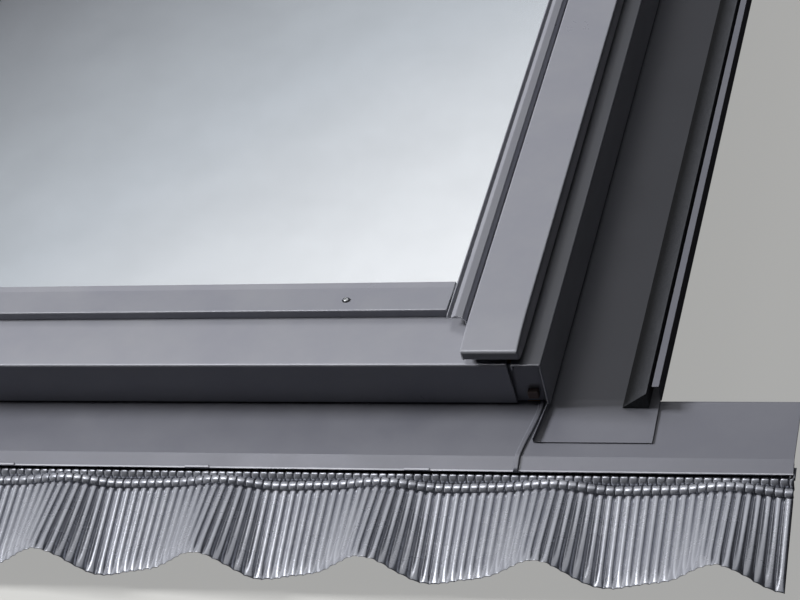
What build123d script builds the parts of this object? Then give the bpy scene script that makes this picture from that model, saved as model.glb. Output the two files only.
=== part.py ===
from build123d import *
from math import asin, cos, degrees, hypot, pi, radians, sin, sqrt
import os

# Centre-pivot roof window with its timber frame and sash, its aluminium covers, its flashing and
# a pleated apron. It lies on the room side of its frame: +Z points outwards through the glass,
# +Y up the slope, +X to the right as seen from outside with the slope rising away.
# Heights are measured from the room face of the frame. A place in width is written as a depth in
# from the outer face of the frame, and a place in length as a distance from the frame's lower or
# upper end. All sizes are in millimetres.

# Whole window
FRAME_W = 780.0
FRAME_L = 1180.0
COVER_TOP = 115.0
SHEET = 1.0
SEAT = 0.3
SOFT_BEND = 0.1
PIN_SIDES = 16

# Timber frame
STILE_INSET = 4.0
STILE_W = 36.0
STILE_DROP = 6.0
SILL_RAIL_INSET = 10.5
SILL_RAIL_W = 36.0
SILL_RAIL_DROP = 17.0
HEAD_RAIL_W = 36.0
LINING_GROOVE_W = 17.0
LINING_GROOVE_D = 7.0
LINING_GROOVE_INSET = 12.0

# Timber sash
SASH_GAP = 4.0
SASH_STILE_W = 50.0
SASH_BOTTOM = 8.0
SASH_DROP = 2.0
SASH_SILL_W = 56.0
SASH_HEAD_W = 62.0
SASH_HEAD_BOTTOM = 45.0
SWING_GAP = 4.0
TIMBER_EDGE_R = 4.0

# Glazing
SIGHT_SIDE = 87.5
SIGHT_BOTTOM = 90.0
SIGHT_TOP = 105.0
GLASS_RISE = 10.5
PANE_T = 4.0
CAVITY_T = 16.0
GLASS_COVER_SIDE = 8.5
GLASS_COVER_BOTTOM = 18.0
GLASS_COVER_TOP = 10.0
SPACER_W = 6.0
EDGE_SEAL_W = 3.0
GASKET_T = 2.5
GASKET_W = 8.0
REBATE_GAP = 1.5

# Glazing beads
BEAD_W = 18.5
BEAD_RIDGE_W = 4.0
BEAD_RIDGE_SLOPE_W = 1.2
BEAD_RIDGE_RISE = 3.2
BEAD_VALLEY_RISE = 1.0
BEAD_RISE = 5.0
BEAD_CHORDS = 6
HEAD_BEAD_W = 12.0
BEAD_OVERRUN = 40.0
SILL_BEAD_RISE = 2.6
SILL_BEAD_W = 37.0
SILL_BEAD_BAND_W = 7.0
SILL_BEAD_BAND_RISE = 0.9
SILL_BEAD_NOSE_R = 2.4
SCREW_R = 2.6
SCREW_HEIGHT = 1.0
SCREW_EDGE = 181.0
SCREW_FROM_LIP = 23.0

# Covers
COVER_W = 49.4
COVER_INSET = 16.4
COVER_RISE = 18.0
COVER_SIDE_H = 14.7
COVER_BEND_R = 2.2
COVER_END_DROP = 3.5
COVER_END_L = 48.0
PIVOT_SPLIT = 1.5
COVER_CARRIER_INSET = 33.0
STRIP_W = 26.0
FLANGE_H = 44.0
STRIP_LIP_H = 3.0
STRIP_BEND_R = 1.6
NOSE_END_GAP = 29.0
NOSE_CROWN = 4.6
NOSE_DEPTH = 60.0
NOSE_CHORDS = 5
FRONT_H = 46.9
FRONT_LEAN = 4.7
NOSE_R = 1.6
SILL_COVER_GAP = 2.0
SILL_COVER_INSET = 5.0
CLIP_W = 9.0
CLIP_H = 7.5
CLIP_D = 5.0
CLIP_INSET = 5.0
CLIP_DROP = 33.0

# Hood
HOOD_FRONT = 114.0
HOOD_RISE = 38.0
HOOD_SLOPE_L = 34.0
HOOD_BACK = 8.0
HOOD_LIP_H = 6.0
HOOD_BACK_H = 60.0

# Pivot hinge, turning about a line just above the covers
PIVOT_RISE = 19.0
OPEN_DEG = 150.0
PLATE_T = 3.0
PLATE_PROUD = 1.0
SASH_PLATE_T = 2.0
TRACK_R_OUT = 60.0
TRACK_R_IN = 42.0
STUD_R = 3.0
STUD_GAP = 0.3
PLATE_MARGIN = 7.0
TRACK_CHORDS = 20
TRACK_END_CHORDS = 5
STUD_ANGLE = 10.0
SASH_PLATE_Y0 = 20.0
PLATE_SCREW_R = 3.0
PLATE_SCREW_EDGE = 8.0

# Barrel bolt for the cleaning position
BOLT_R = 4.0
BOLT_L = 70.0
KNOB_R = 7.0
KNOB_L = 8.0
BOLT_Y = 300.0
BOLT_Z = 54.0
BOLT_GAP = 0.5
BUSH_WALL = 1.5
BUSH_D = 16.0

# Control bar, ventilation flap and latch at the head of the sash
BAR_EDGE = 120.0
BAR_FROM_HEAD = 56.0
BAR_Z = 32.0
BAR_D = 22.0
BAR_W = 12.0
BAR_T = 4.0
BAR_ARM_T = 6.0
BAR_PIN_L = 12.0
BAR_GAP = 1.0
PIN_GAP = 0.08
BAR_PIN_R = 3.0
BAR_OPEN_DEG = 35.0
VENT_EDGE = 160.0
VENT_W = 12.0
VENT_FROM_HEAD = 72.0
FLAP_T = 2.0
FLAP_OPEN_DEG = 35.0
FLAP_OVERLAP = 4.0
FLAP_KNUCKLE_R = 2.2
FLAP_PIN_R = 1.5
FLAP_PIN_L = 7.0
FLAP_CLIP_W = 7.0
TONGUE_W = 20.0
TONGUE_T = 6.0
TONGUE_L = 50.0
TONGUE_Z = 76.0
TONGUE_TRAVEL = 10.0
TONGUE_GAP = 0.5
STRIKER_T = 2.0
STRIKER_MARGIN = 10.0

# Weather seal
SEAL_T = 3.4
SEAL_H = 6.0
SEAL_PIVOT_GAP = 35.0

# Mounting brackets
BRACKET_Y = 440.0
BRACKET_L = 70.0
BRACKET_Z = 20.0
BRACKET_T = 2.0
BRACKET_H = 32.0
BRACKET_REACH = 45.0
BRACKET_HOLE_R = 3.5
BRACKET_HOLE_REACH = 28.0
BRACKET_SCREW_R = 4.0
BRACKET_SCREW_H = 2.4
BRACKET_SCREW_RISE = 19.0

# Flashing
FLASH_T = 1.0
UPSTAND_INSET = 2.0
PLATE_DROP = 49.0
CREASE_DEPTH = 50.0
CREASE_DROP = 54.0
HEM_DEPTH = 61.5
HEM_DROP = 60.0
HEM_BACK = 10.0
SILL_UPSTAND_H = 30.0
SEAM_W = 4.5
SEAM_T = 1.6
SEAM_TOP_IN = 11.0
SEAM_BOTTOM_IN = 22.0
GUTTER_W = 90.0
GUTTER_DROP = 47.5
GUTTER_END_IN = 9.0
GUTTER_END_GAP = 0.3
GUTTER_EDGE_H = 4.0
GUTTER_RIM_H = 14.0
GUTTER_UPSTAND_TOP = 30.0
GUTTER_END = 36.0
HEAD_FLASH_L = 150.0
FOAM_W = 22.0
FOAM_H = 16.0
FOAM_GAP = 8.0
GUTTER_RIM_FOLD = 5.0
HEAD_UPSTAND_H = 34.0
HEM_CLIP_W = 22.0
HEM_CLIP_T = 0.8
HEM_CLIP_BACK = 2.2
HEM_CLIPS = (104.0, 299.0)

# Pleated apron: its path from under the plate over the roll to the lower edge
APRON_OVERHANG = 205.0
PLEAT_PITCH = 7.5
PANEL_PLEATS = 2
PLEAT_H = 3.2
EDGE_PLEAT_H = 1.0
APRON_T = 1.6
WAVE_PITCH = 144.0
WAVE_H = 28.6
WAVE_CREST_X = -36.6
WAVE_CREST_SHARE = 0.20
WAVE_LEAN_SHARE = 0.20
ROLL_WAVE = 0.22
APRON_BACK = 46.0
TEETH_DEPTH = 63.0
TEETH_DROP = 66.6
GROOVE_DROP = 71.5
GROOVE_PLEAT_H = 0.6
ROLL_DEPTH = 68.0
ROLL_DROP = 71.8
ROLL_R = 2.8
ROLL_FOOT_DEG = 30.0
APRON_EDGE = 150.0
APRON_EDGE_DROP = 86.0

# Values that follow from the sizes above
HALF_W = FRAME_W / 2
LOW_Y = -FRAME_L / 2
HIGH_Y = FRAME_L / 2
CENTRE_Y = (HIGH_Y + HOOD_BACK + HEAD_FLASH_L + LOW_Y - APRON_EDGE) / 2
PIVOT_Z = COVER_TOP + PIVOT_RISE
STILE_H = COVER_TOP - STILE_DROP
SILL_RAIL_H = COVER_TOP - SILL_RAIL_DROP
SASH_TOP = COVER_TOP - SASH_DROP
GLASS_TOP = COVER_TOP + GLASS_RISE
STILE_IN = STILE_INSET + STILE_W
SASH_OUT = STILE_IN + SASH_GAP
SASH_IN = SASH_OUT + SASH_STILE_W
GLASS_BOTTOM = GLASS_TOP - 2 * PANE_T - CAVITY_T
REBATE_Z = GLASS_BOTTOM - GASKET_T
GLASS_SIDE = SIGHT_SIDE - GLASS_COVER_SIDE
GLASS_Y0 = LOW_Y + SIGHT_BOTTOM - GLASS_COVER_BOTTOM
GLASS_Y1 = HIGH_Y - SIGHT_TOP + GLASS_COVER_TOP
SILL_RAIL_IN = LOW_Y + SILL_RAIL_INSET + SILL_RAIL_W
SWING_R_FRAME = hypot(SILL_RAIL_IN, PIVOT_Z - SILL_RAIL_H)
SWING_R_SASH = SWING_R_FRAME - SWING_GAP
HEAD_RAIL_IN = HIGH_Y - STILE_INSET - HEAD_RAIL_W
SASH_Y1 = HEAD_RAIL_IN - SASH_GAP
SASH_HEAD_IN = SASH_Y1 - SASH_HEAD_W
COVER_Z = COVER_TOP + COVER_RISE
COVER_IN = COVER_INSET + COVER_W
BEAD_OUT = SIGHT_SIDE - BEAD_W
HINGE_HALF_L = TRACK_R_OUT + STUD_R + PLATE_MARGIN
HINGE_PLATE_Z = PIVOT_Z - HINGE_HALF_L
SILL_UPSTAND_Y = LOW_Y + SILL_RAIL_INSET - FLASH_T - SEAT
SILL_FLANGE_Y = SILL_UPSTAND_Y - SHEET - SEAT
BUSH_R = BOLT_R + BOLT_GAP + BUSH_WALL
TONGUE_Y0 = SASH_Y1 - TONGUE_GAP - TONGUE_L


def swing_y(radius, z):
    """Lengthwise place of a point of the sill that lies on the swing circle at height z."""
    return -sqrt(radius ** 2 - (PIVOT_Z - z) ** 2)


SASH_SILL_IN = swing_y(SWING_R_SASH, SASH_TOP) + SASH_SILL_W


def block(x0, x1, y0, y1, z0, z1):
    """Box between two corners."""
    centre = Location(((x0 + x1) / 2, (y0 + y1) / 2, (z0 + z1) / 2))
    return centre * Box(abs(x1 - x0), abs(y1 - y0), abs(z1 - z0))


def along_x(face, x0, x1):
    """Profile drawn in (Y, Z), pushed from x0 to x1."""
    return extrude(Plane.YZ.offset(x0) * face, amount=x1 - x0)


def along_y(face, y0, y1):
    """Profile drawn in (X, Z), pushed from y0 to y1."""
    return extrude(Plane.XZ.offset(-y1) * face, amount=y1 - y0)


def polygon(points):
    """Face inside a closed outline."""
    return make_face(Polyline(*points, close=True))


def mitre(points, thickness):
    """Outline of a sheet: an open line of points and its parallel at the sheet's thickness."""
    normals = []
    for (ax, ay), (bx, by) in zip(points, points[1:]):
        length = hypot(bx - ax, by - ay)
        normals.append((-(by - ay) / length, (bx - ax) / length))
    second = []
    for i, (px, py) in enumerate(points):
        first = normals[max(i - 1, 0)]
        last = normals[min(i, len(normals) - 1)]
        scale = thickness / (1 + first[0] * last[0] + first[1] * last[1])
        second.append((px + (first[0] + last[0]) * scale, py + (first[1] + last[1]) * scale))
    return list(points) + second[::-1]


def bent_sheet(points, thickness=SHEET, radius=0.0):
    """Profile of a folded sheet on the left of its line, its outer bends rounded at radius."""
    outline = mitre(points, thickness)
    face = polygon(outline)
    inner = radius - abs(thickness)
    for index in range(1, len(points) - 1):
        before, here, after = [Vector(*place) for place in points[index - 1:index + 2]]
        turn = (here - before).normalized().cross((after - here).normalized()).Z
        if radius > 0 and abs(turn) > SOFT_BEND:
            other = Vector(*outline[-1 - index])
            outer_is_line = (turn > 0) == (thickness > 0)
            outside, inside = (here, other) if outer_is_line else (other, here)
            face = fillet(face.vertices().sort_by_distance(outside)[0], radius)
            if inner > 0:
                face = fillet(face.vertices().sort_by_distance(inside)[0], inner)
    return face


def inward(depth):
    """X of a place that lies depth in from the right outer face of the frame."""
    return HALF_W - depth


def right_points(pairs):
    """Profile points on the right side, given as (depth in from the outer face, height)."""
    return [(inward(depth), z) for depth, z in pairs]


def both_sides(name, right_part):
    """The right piece and its mirror image, under names that end in the side."""
    return {f"{name}_right": right_part, f"{name}_left": mirror(right_part, Plane.YZ)}


def mirrored_set(right_parts):
    """One node that holds the right pieces and their mirror images."""
    return Compound(right_parts + [mirror(part, Plane.YZ) for part in right_parts])


def pin_x(x0, x1, y, z, radius):
    """Round bar along X."""
    place = Location(((x0 + x1) / 2, y, z)) * Rotation(0, 90, 0)
    return place * Cylinder(radius, abs(x1 - x0))


def facet_pin_x(x0, x1, y, z, radius):
    """Bar along X with flat facets, for studs, screw heads and others that need no true circle."""
    face = Location((y, z)) * RegularPolygon(radius, PIN_SIDES)
    return along_x(face, min(x0, x1), max(x0, x1))


def pin_z(x, y, z0, z1, radius):
    """Round bar along Z."""
    return Location((x, y, (z0 + z1) / 2)) * Cylinder(radius, z1 - z0)


def turned(part, y, z, angle):
    """A piece turned about a line along X through (y, z)."""
    return part.rotate(Axis((0, y, z), (1, 0, 0)), angle)


def cleaning_place(y, z):
    """Where a point of the sash stands once the sash is turned right over."""
    turn = radians(OPEN_DEG)
    height = z - PIVOT_Z
    return (y * cos(turn) + height * sin(turn), PIVOT_Z - y * sin(turn) + height * cos(turn))


BOLT_PLACES = [(BOLT_Y, BOLT_Z), cleaning_place(BOLT_Y, BOLT_Z)]


def frame_timber():
    """Two full-length stiles with two rails between them, grooved for the room lining."""
    y0, y1 = LOW_Y + SILL_RAIL_INSET, HIGH_Y - STILE_INSET
    stile = block(inward(STILE_IN), inward(STILE_INSET), y0, y1, 0, STILE_H)
    groove_x = inward(STILE_INSET + LINING_GROOVE_INSET)
    stile -= block(groove_x - LINING_GROOVE_W, groove_x, y0, y1, 0, LINING_GROOVE_D)
    stile -= block(inward(STILE_IN), inward(STILE_IN - PLATE_T + PLATE_PROUD), -HINGE_HALF_L,
                   HINGE_HALF_L, HINGE_PLATE_Z, STILE_H)
    left = mirror(stile, Plane.YZ)
    for y, z in BOLT_PLACES:
        stile -= facet_pin_x(inward(STILE_IN), inward(STILE_IN - BUSH_D), y, z, BUSH_R)
    x1 = inward(STILE_IN)
    sill_bottom_in = swing_y(SWING_R_FRAME, 0)
    sill = along_x(polygon([(y0, 0), (sill_bottom_in, 0), (SILL_RAIL_IN, SILL_RAIL_H),
                            (y0, SILL_RAIL_H)]), -x1, x1)
    groove_y = y0 + LINING_GROOVE_INSET
    sill -= block(-x1, x1, groove_y, groove_y + LINING_GROOVE_W, 0, LINING_GROOVE_D)
    head = block(-x1, x1, HEAD_RAIL_IN, y1, 0, STILE_H)
    groove_y = y1 - LINING_GROOVE_INSET
    head -= block(-x1, x1, groove_y - LINING_GROOVE_W, groove_y, 0, LINING_GROOVE_D)
    reach = HEAD_RAIL_IN + TONGUE_TRAVEL + STRIKER_T
    half_w, half_h = TONGUE_W / 2 + TONGUE_GAP, TONGUE_T / 2 + TONGUE_GAP
    head -= block(-half_w, half_w, HEAD_RAIL_IN, reach, TONGUE_Z - half_h, TONGUE_Z + half_h)
    head -= block(-half_w - STRIKER_MARGIN, half_w + STRIKER_MARGIN, HEAD_RAIL_IN,
                  HEAD_RAIL_IN + STRIKER_T, TONGUE_Z - half_h - STRIKER_MARGIN,
                  TONGUE_Z + half_h + STRIKER_MARGIN)
    return {"frame_stile_right": stile, "frame_stile_left": left,
            "frame_sill_rail": sill, "frame_head_rail": head}


def sash_timber():
    """Sash rails with a glazing rebate. The sill's outer face leans in to clear its own swing."""
    low_out = swing_y(SWING_R_SASH, SASH_BOTTOM)
    top_out = swing_y(SWING_R_SASH, SASH_TOP)
    rebate_y0, rebate_y1 = GLASS_Y0 - REBATE_GAP, GLASS_Y1 + REBATE_GAP
    side_line = [(low_out, SASH_BOTTOM), (SASH_Y1, SASH_BOTTOM), (SASH_Y1, SASH_TOP),
                 (top_out, SASH_TOP)]
    stile = along_x(polygon(side_line), inward(SASH_IN), inward(SASH_OUT))
    stile -= block(inward(SASH_IN), inward(GLASS_SIDE - REBATE_GAP), rebate_y0, rebate_y1,
                   REBATE_Z, SASH_TOP)
    room_edge = stile.edges().filter_by(Axis.Y).sort_by(lambda e: e.center().X + e.center().Z)[0]
    stile = fillet(room_edge, TIMBER_EDGE_R)
    left = mirror(stile, Plane.YZ)
    stile -= facet_pin_x(inward(SASH_OUT), inward(SASH_IN), BOLT_Y, BOLT_Z, BOLT_R + BOLT_GAP)
    x1 = inward(SASH_IN)
    sill = along_x(polygon([(low_out, SASH_BOTTOM), (SASH_SILL_IN, SASH_BOTTOM),
                            (SASH_SILL_IN, REBATE_Z), (rebate_y0, REBATE_Z),
                            (rebate_y0, SASH_TOP), (top_out, SASH_TOP)]), -x1, x1)
    room_edge = sill.edges().filter_by(Axis.X).sort_by(lambda e: e.center().Z - e.center().Y)[0]
    sill = fillet(room_edge, TIMBER_EDGE_R)
    head = along_x(polygon([(SASH_HEAD_IN, SASH_HEAD_BOTTOM), (SASH_Y1, SASH_HEAD_BOTTOM),
                            (SASH_Y1, SASH_TOP), (rebate_y1, SASH_TOP), (rebate_y1, REBATE_Z),
                            (SASH_HEAD_IN, REBATE_Z)]), -x1, x1)
    vent_y = HIGH_Y - VENT_FROM_HEAD
    for x0, x2 in ((-inward(VENT_EDGE), -TONGUE_W), (TONGUE_W, inward(VENT_EDGE))):
        head -= block(x0, x2, vent_y - VENT_W / 2, vent_y + VENT_W / 2, SASH_HEAD_BOTTOM, SASH_TOP)
    half_w, half_h = TONGUE_W / 2 + TONGUE_GAP, TONGUE_T / 2 + TONGUE_GAP
    head -= block(-half_w, half_w, TONGUE_Y0 - TONGUE_GAP, SASH_Y1, TONGUE_Z - half_h,
                  TONGUE_Z + half_h)
    return {"sash_stile_right": stile, "sash_stile_left": left,
            "sash_sill_rail": sill, "sash_head_rail": head}


def glass_sheet(inset, z0, z1):
    """Flat sheet in the glass's outline, drawn in by an inset."""
    x1 = inward(GLASS_SIDE + inset)
    return block(-x1, x1, GLASS_Y0 + inset, GLASS_Y1 - inset, z0, z1)


def glazing():
    """Sealed unit of two panes on a spacer bar, with a gasket below and above its edge."""
    inner_top = GLASS_BOTTOM + PANE_T
    outer_bottom = GLASS_TOP - PANE_T
    seal = glass_sheet(0, inner_top, outer_bottom) - glass_sheet(EDGE_SEAL_W, inner_top, outer_bottom)
    spacer = glass_sheet(EDGE_SEAL_W, inner_top, outer_bottom)
    spacer -= glass_sheet(EDGE_SEAL_W + SPACER_W, inner_top, outer_bottom)
    gasket = glass_sheet(0, REBATE_Z, GLASS_BOTTOM) - glass_sheet(GASKET_W, REBATE_Z, GLASS_BOTTOM)
    return {"outer_pane": glass_sheet(0, outer_bottom, GLASS_TOP),
            "inner_pane": glass_sheet(0, GLASS_BOTTOM, inner_top),
            "spacer_bar": spacer, "edge_seal": seal, "glazing_gasket": gasket}


def side_bead_profile(foot_z):
    """Thin bead: a narrow ridge along the glass, a valley, a wide dome of chords and a foot."""
    lip_z = GLASS_TOP + SEAT + SHEET
    valley_in = SIGHT_SIDE - BEAD_RIDGE_W
    ridge_z = lip_z + BEAD_RIDGE_RISE
    line = [(SIGHT_SIDE, lip_z), (SIGHT_SIDE - BEAD_RIDGE_SLOPE_W, ridge_z),
            (valley_in + BEAD_RIDGE_SLOPE_W, ridge_z), (valley_in, lip_z + BEAD_VALLEY_RISE)]
    for step in range(1, BEAD_CHORDS):
        turn = pi * step / BEAD_CHORDS
        depth = valley_in - (valley_in - BEAD_OUT) * (1 - cos(turn)) / 2
        line.append((depth, lip_z + BEAD_VALLEY_RISE + (BEAD_RISE - BEAD_VALLEY_RISE) * sin(turn)))
    line += [(BEAD_OUT, lip_z), (BEAD_OUT, foot_z)]
    return polygon(mitre(right_points(line), -SHEET))


def beads():
    """Beads that hold the glass: domed at the sides, a wide flat one at the sill."""
    foot_z = SASH_TOP + SEAT
    lap_z = COVER_TOP + NOSE_CROWN + SHEET
    y_top = HIGH_Y - SIGHT_TOP + HEAD_BEAD_W
    lap_y = LOW_Y + NOSE_DEPTH + SHEET + SEAT
    side = along_y(side_bead_profile(foot_z), lap_y, y_top)
    side += along_y(side_bead_profile(lap_z), LOW_Y + BEAD_OVERRUN, lap_y)
    x1 = inward(SIGHT_SIDE + SHEET)
    lip_y = LOW_Y + SIGHT_BOTTOM
    lip_z = GLASS_TOP + SEAT + SHEET
    nose_y = lip_y - SILL_BEAD_W
    top_z = GLASS_TOP + SILL_BEAD_RISE
    foot_z = COVER_TOP + NOSE_CROWN + SEAT
    sill_line = [(lip_y, lip_z), (lip_y - SHEET, lip_z + SILL_BEAD_BAND_RISE),
                 (lip_y - SILL_BEAD_BAND_W, lip_z + SEAT), (nose_y, top_z),
                 (nose_y + SHEET, foot_z)]
    sill = along_x(bent_sheet(sill_line, SHEET, SILL_BEAD_NOSE_R), -x1, x1)
    head_y = HIGH_Y - SIGHT_TOP
    head_line = [(head_y, lip_z), (head_y + HEAD_BEAD_W, top_z),
                 (head_y + HEAD_BEAD_W, SASH_TOP + SEAT)]
    head = along_x(bent_sheet(head_line, -SHEET), -x1, x1)
    screw = pin_z(inward(SCREW_EDGE), lip_y - SCREW_FROM_LIP, top_z, top_z + SCREW_HEIGHT, SCREW_R)
    return {**both_sides("side_bead", side), "sill_bead": sill, "head_bead": head,
            "bead_screws": mirrored_set([screw])}


def sash_sill_cover():
    """Convex cover over the sill: it falls to a nose line and has a front that leans inwards."""
    foot_y = LOW_Y + NOSE_DEPTH
    line = [(foot_y, SASH_TOP + SEAT)]
    for step in range(NOSE_CHORDS + 1):
        along = step / NOSE_CHORDS
        line.append((foot_y - NOSE_DEPTH * along, COVER_TOP + NOSE_CROWN * (1 - along ** 2)))
    line.append((LOW_Y + FRONT_LEAN, COVER_TOP - FRONT_H))
    x1 = inward(NOSE_END_GAP)
    face = polygon(mitre(line, SHEET))
    nose = face.vertices().sort_by_distance(Vector(LOW_Y, COVER_TOP, 0))[0]
    return {"sash_sill_cover": along_x(fillet(nose, NOSE_R), -x1, x1)}


def cover_line(inner_foot, outer_foot):
    """Open profile of the wide side cover from its inner foot over the top to its outer foot."""
    return right_points([(COVER_IN, inner_foot), (COVER_IN, COVER_Z), (COVER_INSET, COVER_Z),
                         (COVER_INSET, outer_foot)])


def side_covers():
    """Wide covers over the joint of frame and sash: the lower pair rides on the sash."""
    outer_foot = COVER_Z - COVER_SIDE_H
    lap_z = COVER_TOP + NOSE_CROWN + SHEET
    lap_y = LOW_Y + NOSE_DEPTH + SHEET + SEAT
    bend_y = LOW_Y + COVER_END_L
    lower = along_y(bent_sheet(cover_line(SASH_TOP + SEAT, outer_foot), -SHEET, COVER_BEND_R),
                    lap_y, -PIVOT_SPLIT)
    lower += along_y(bent_sheet(cover_line(lap_z, outer_foot), -SHEET, COVER_BEND_R),
                     bend_y, lap_y)
    bend_r = COVER_END_L ** 2 / (2 * COVER_END_DROP)
    bend_deg = degrees(asin(COVER_END_L / bend_r))
    end_z = lap_z + COVER_END_DROP
    end_face = bent_sheet(cover_line(end_z, outer_foot + COVER_END_DROP), -SHEET, COVER_BEND_R)
    end_face = Plane.XZ.offset(-bend_y) * end_face
    bend_axis = Axis((0, bend_y, COVER_Z - bend_r), (1, 0, 0))
    lower += revolve(end_face, bend_axis, bend_deg)
    cap = block(inward(COVER_IN), inward(COVER_INSET), bend_y, bend_y - SHEET, end_z,
                COVER_Z - SHEET / 2)
    lower += cap.rotate(bend_axis, bend_deg)
    lower += along_x(polygon([(bend_y, outer_foot), (bend_y, COVER_Z - COVER_BEND_R),
                              (LOW_Y + SHEET, COVER_Z - COVER_END_DROP - COVER_BEND_R),
                              (LOW_Y + SHEET, outer_foot)]),
                     inward(COVER_INSET + SHEET), inward(COVER_INSET))
    upper = along_y(bent_sheet(cover_line(SASH_TOP + 2 * SHEET, outer_foot), -SHEET, COVER_BEND_R),
                    PIVOT_SPLIT, HIGH_Y - HOOD_FRONT + HOOD_SLOPE_L)
    upper += block(inward(COVER_CARRIER_INSET + SHEET), inward(COVER_CARRIER_INSET), PIVOT_SPLIT,
                   HIGH_Y - HOOD_FRONT + HOOD_SLOPE_L, STILE_H, COVER_Z - SHEET)
    return {**both_sides("sash_side_cover", lower), **both_sides("upper_side_cover", upper)}


def frame_covers():
    """Thin covers on the frame itself: an angle on each side and one along the sill."""
    line = right_points([(STRIP_W, STILE_H + SEAT), (STRIP_W, COVER_TOP), (0, COVER_TOP),
                         (0, COVER_TOP - FLANGE_H)])
    side = along_y(bent_sheet(line, -SHEET, STRIP_BEND_R), LOW_Y, HIGH_Y)
    side += block(inward(STRIP_W - STRIP_LIP_H), inward(SHEET), LOW_Y, LOW_Y + SHEET,
                  COVER_TOP - STRIP_LIP_H, COVER_TOP - SHEET)
    side += block(inward(STRIP_LIP_H + SHEET), inward(SHEET), LOW_Y, LOW_Y + SHEET,
                  COVER_TOP - FLANGE_H, COVER_TOP - SHEET)
    rail_x = inward(STILE_IN)
    flange_z = COVER_TOP - PLATE_DROP + SILL_COVER_GAP
    sill_line = [(SILL_RAIL_IN - SHEET, SILL_RAIL_H + SHEET), (SILL_FLANGE_Y, SILL_RAIL_H + SHEET),
                 (SILL_FLANGE_Y, flange_z)]
    sill = along_x(bent_sheet(sill_line, SHEET), -rail_x, rail_x)
    flange_x = inward(SILL_COVER_INSET)
    sill += block(-flange_x, flange_x, SILL_FLANGE_Y, SILL_FLANGE_Y + SHEET, flange_z, SILL_RAIL_H)
    end = block(rail_x, flange_x, SILL_FLANGE_Y, SILL_FLANGE_Y + SHEET, flange_z, STILE_H)
    sill += end + mirror(end, Plane.YZ)
    clip_in = STILE_INSET + CLIP_INSET
    clip = block(inward(clip_in + CLIP_W), inward(clip_in), SILL_FLANGE_Y - CLIP_D,
                 SILL_FLANGE_Y, COVER_TOP - CLIP_DROP - CLIP_H, COVER_TOP - CLIP_DROP)
    return {**both_sides("frame_side_cover", side), "frame_sill_cover": sill,
            "corner_clips": mirrored_set([clip])}


def hood():
    """Fixed casing over the head of the window, closed at both ends."""
    front_y = HIGH_Y - HOOD_FRONT
    top_z = COVER_TOP + HOOD_RISE
    lip_z = COVER_Z + 2 * SHEET
    outer = [(front_y, lip_z), (front_y, lip_z + HOOD_LIP_H), (front_y + HOOD_SLOPE_L, top_z),
             (HIGH_Y + HOOD_BACK, top_z), (HIGH_Y + HOOD_BACK, top_z - HOOD_BACK_H)]
    shell = along_x(bent_sheet(outer, -SHEET, STRIP_BEND_R), -HALF_W, HALF_W)
    end_line = [(front_y + SHEET / 2, lip_z), (front_y + SHEET / 2, lip_z + HOOD_LIP_H),
                (front_y + HOOD_SLOPE_L, top_z - SHEET / 2), (HIGH_Y + HOOD_BACK - SHEET / 2,
                top_z - SHEET / 2), (HIGH_Y + HOOD_BACK - SHEET / 2, COVER_TOP + SEAT),
                (front_y + HOOD_SLOPE_L, COVER_TOP + SEAT)]
    end = along_x(polygon(end_line), HALF_W - SHEET, HALF_W)
    return {"hood": shell + end + mirror(end, Plane.YZ)}


def track(radius):
    """Curved slot about the pivot line in short chords, as a cutter through the frame plate."""
    half = STUD_R + STUD_GAP
    first, last = radians(180 + STUD_ANGLE), radians(360 - STUD_ANGLE)
    sweep = [first + (last - first) * step / TRACK_CHORDS for step in range(TRACK_CHORDS + 1)]
    outline = [((radius + half) * cos(turn), (radius + half) * sin(turn)) for turn in sweep]
    for end, start in ((last, last), (first, first + pi)):
        outline += [(radius * cos(end) + half * cos(start + pi * step / TRACK_END_CHORDS),
                     radius * sin(end) + half * sin(start + pi * step / TRACK_END_CHORDS))
                    for step in range(1, TRACK_END_CHORDS)]
        if end == last:
            outline += [((radius - half) * cos(turn), (radius - half) * sin(turn))
                        for turn in reversed(sweep)]
    slot = Location((0, PIVOT_Z)) * polygon(outline)
    return along_x(slot, inward(STILE_IN + PLATE_PROUD), inward(STILE_IN - PLATE_T + PLATE_PROUD))


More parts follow.
